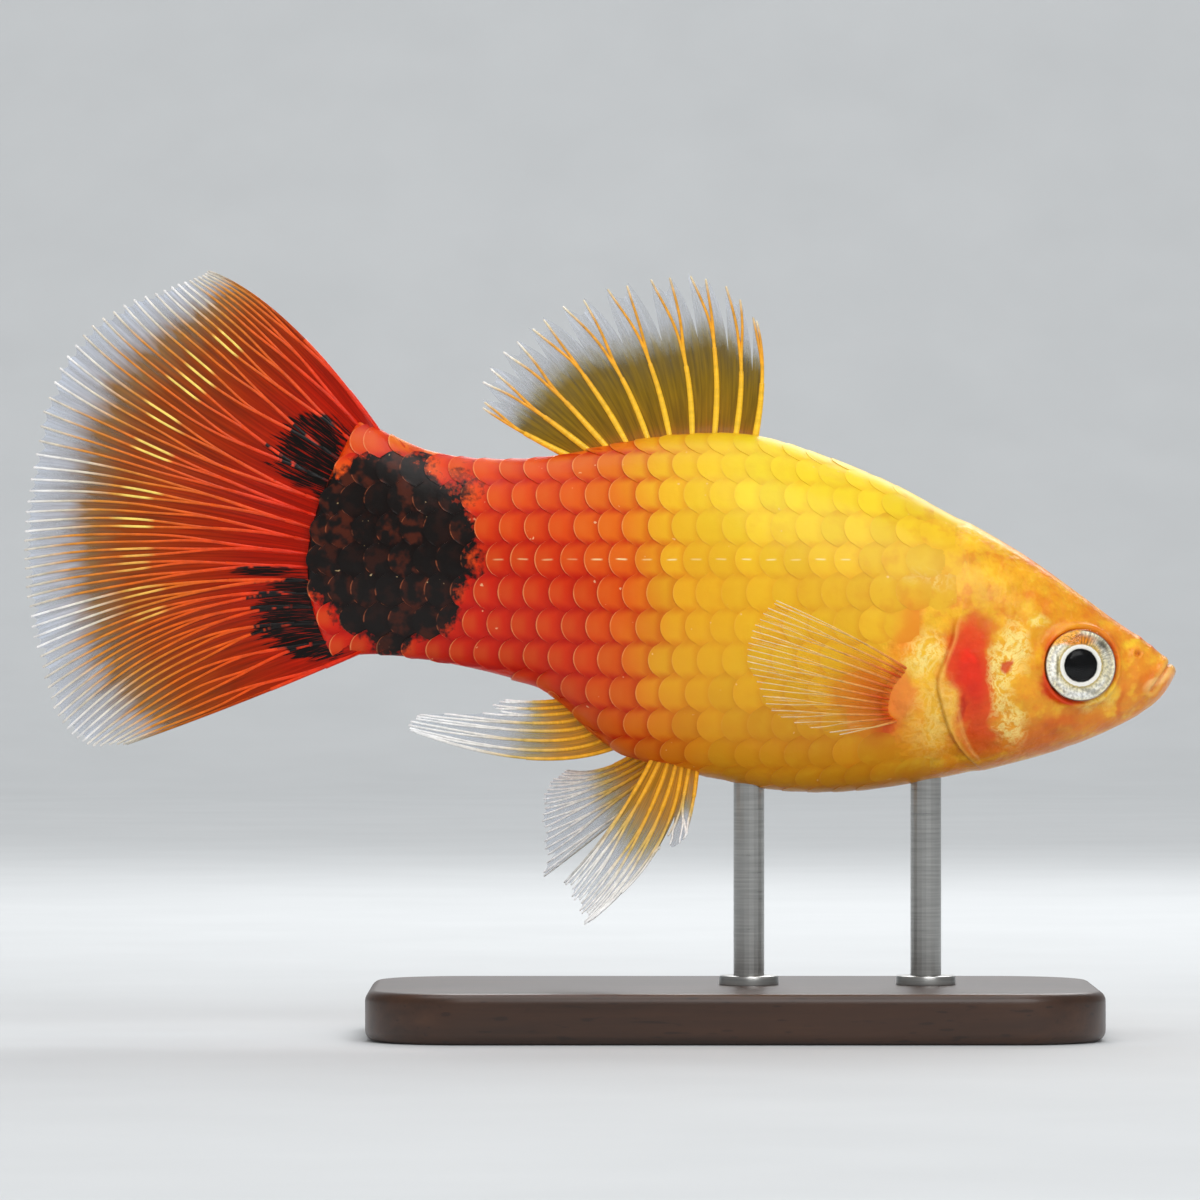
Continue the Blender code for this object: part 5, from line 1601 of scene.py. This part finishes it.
def buildBase(finish):
    # a flat board with round corners and softly broken edges
    length, width, height = stand["baseSize"]
    corner, edge, steps = stand["corner"], stand["edge"], stand["cornerSteps"]
    turns = np.linspace(0, math.pi / 2, stand["edgeSteps"] + 1)
    profile = [(edge, 0.0)] + [(edge * (1 - math.sin(t)), edge * (1 - math.cos(t))) for t in turns[1:]]
    profile += [(edge * (1 - math.cos(t)), height - edge * (1 - math.sin(t))) for t in turns]
    rings = []
    for inset, z in profile:
        ring = []
        for quarter, (sx, sy) in enumerate(((1, 1), (-1, 1), (-1, -1), (1, -1))):
            for step in range(steps + 1):
                turn = math.pi / 2 * (quarter + step / steps)
                x = stand["baseCentre"] + sx * (length / 2 - corner) + (corner - inset) * math.cos(turn)
                ring.append((x, sy * (width / 2 - corner) + (corner - inset) * math.sin(turn), z))
        rings.append(ring)
    count = len(rings[0])
    faces = gridFaces(len(rings), count, closed=True).tolist()
    faces += [tuple(range(count))[::-1], tuple(range((len(rings) - 1) * count, len(rings) * count))]
    board = addPiece("stand_board", np.concatenate(rings), faces, finish, sharpAngle=40)
    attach(board, "root")
    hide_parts("stand_base")


def buildCollar(word, back, finish):
    # a small collar closes the hole in the base round a rod
    x, count = body["length"] / 2 - back, stand["collarSides"]
    bottom = stand["baseSize"][2] + stand["clearance"]
    top = stand["baseSize"][2] + stand["collarHeight"]
    inner, outer = stand["rodRadius"] + stand["clearance"], stand["collarRadius"]
    wide, small = stand["collarEdge"]
    profile = [(inner, bottom), (outer, bottom), (outer, top - wide), (outer - small, top - small)]
    profile += [(outer - wide, top), (inner, top)]
    turns = 2 * np.pi * np.arange(count) / count
    rings = [np.stack([x + r * np.cos(turns), r * np.sin(turns), np.full(count, z)], -1) for r, z in profile]
    faces = gridFaces(len(profile), count, closed=True).tolist()
    last = (len(profile) - 1) * count
    faces += [(last + i, last + (i + 1) % count, (i + 1) % count, i) for i in range(count)]
    collar = addPiece(f"stand_collar_{word}", np.concatenate(rings), faces, finish, sharpAngle=30)
    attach(collar, "root")


def buildStand():
    beech, steel = makeBeechFinish(), makeSteelFinish()
    for node in ("stand_rod_front", "stand_rod_rear"):
        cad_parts[node].data.materials.clear()
        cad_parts[node].data.materials.append(steel)
    buildBase(beech)
    for word, back in zip(("front", "rear"), stand["rodBacks"]):
        buildCollar(word, back, steel)
    print("stand finished")


buildStand()

studio = {
    "paper": [(0.3, "#C9CCCE"), (0.7, "#CDD0D2")],
    "sheet": (-1500.0, -300.0, 560.0),  # its front edge, a fold in the flat, and where it starts to rise
    "sheetDrop": 0.02,  # below the base, so that the two faces don't meet
    "sweep": 260.0,
    "sweepSteps": 16,
    "cameraDistance": 450.0,
    "frameWidth": 62.4,
    "aim": (0.057, 22.6),
    "sensor": 36.0,
    # name, place, aim, size, power in watts
    "lights": [
        ("key", (90, -260, 260), (5, 0, 20), 220, 0.5),
        ("front", (170, -380, 50), (0, 0, 20), 300, 0.75),
        ("top", (-20, 10, 330), (0, 0, 20), 260, 0.38),
        ("fill", (-240, -200, 90), (0, 0, 20), 260, 0.28),
        ("rim", (40, 200, 190), (0, 0, 22), 160, 0.3),
        ("backdrop", (0, 440, 520), (0, 720, 60), 600, 2.2),
    ],
    "mirrored": ("key", "top", "rim"),
    "world": 0.24,
}


def makePaperFinish():
    # matt paper: nearly even, with a faint cloud of fibres
    finish, tree, shader, where = newFinish("pale backdrop paper", {"Roughness": 0.9})
    fibre = addNode(tree, "TexNoise", {"Vector": where, "Scale": 60.0, "Detail": 3.0})
    fillSockets(shader, {"Base Color": setStops(addNode(tree, "ValToRGB", [fibre]), studio["paper"])})
    return finish


def buildBackdrop(finish):
    # a sheet that lies flat and sweeps up behind
    near, _, far = studio["sheet"]
    radius = studio["sweep"]
    line = [(y, 0.0) for y in studio["sheet"]]
    for turn in np.linspace(0, math.pi / 2, studio["sweepSteps"] + 1)[1:]:
        line.append((far + radius * math.sin(turn), radius * (1 - math.cos(turn))))
    line.append((far + radius, -near))
    points = [(x, y, z - studio["sheetDrop"]) for y, z in line for x in (near, -near)]
    faces = [(2 * i, 2 * i + 1, 2 * i + 3, 2 * i + 2) for i in range(len(line) - 1)]
    sheet = addPiece("floor_sheet", points, faces, finish, sharpAngle=60)


def placeLights():
    for name, spot, aim, size, power in studio["lights"]:
        lamp = bpy.data.lights.new(name, "AREA")
        lamp.shape = "SQUARE"
        lamp.size = size * mm
        lamp.energy = power
        light = bpy.data.objects.new(name, lamp)
        light.location = Vector(spot) * mm
        light.visible_glossy = name in studio["mirrored"]  # the others aren't seen in the pupil
        light.rotation_euler = (Vector(aim) - Vector(spot)).to_track_quat("-Z", "Y").to_euler()
        bpy.context.scene.collection.objects.link(light)
    world = bpy.data.worlds.new("soft studio")
    world.use_nodes = True
    fillSockets(world.node_tree.nodes["Background"], {"Color": (1, 1, 1, 1), "Strength": studio["world"]})
    bpy.context.scene.world = world


def placeCamera():
    # level and square to the fish's right side, as in the photo
    lens = bpy.data.cameras.new("photo camera")
    lens.sensor_width = studio["sensor"]
    lens.lens = studio["sensor"] * studio["cameraDistance"] / studio["frameWidth"]
    lens.clip_start = 0.01
    camera = bpy.data.objects.new("photo camera", lens)
    camera.location = Vector((studio["aim"][0], -studio["cameraDistance"], studio["aim"][1])) * mm
    camera.rotation_euler = (math.radians(90), 0, 0)
    bpy.context.scene.collection.objects.link(camera)
    bpy.context.scene.camera = camera
    bpy.context.scene.view_settings.view_transform = "Standard"


buildBackdrop(makePaperFinish())
placeLights()
placeCamera()
print("studio set")
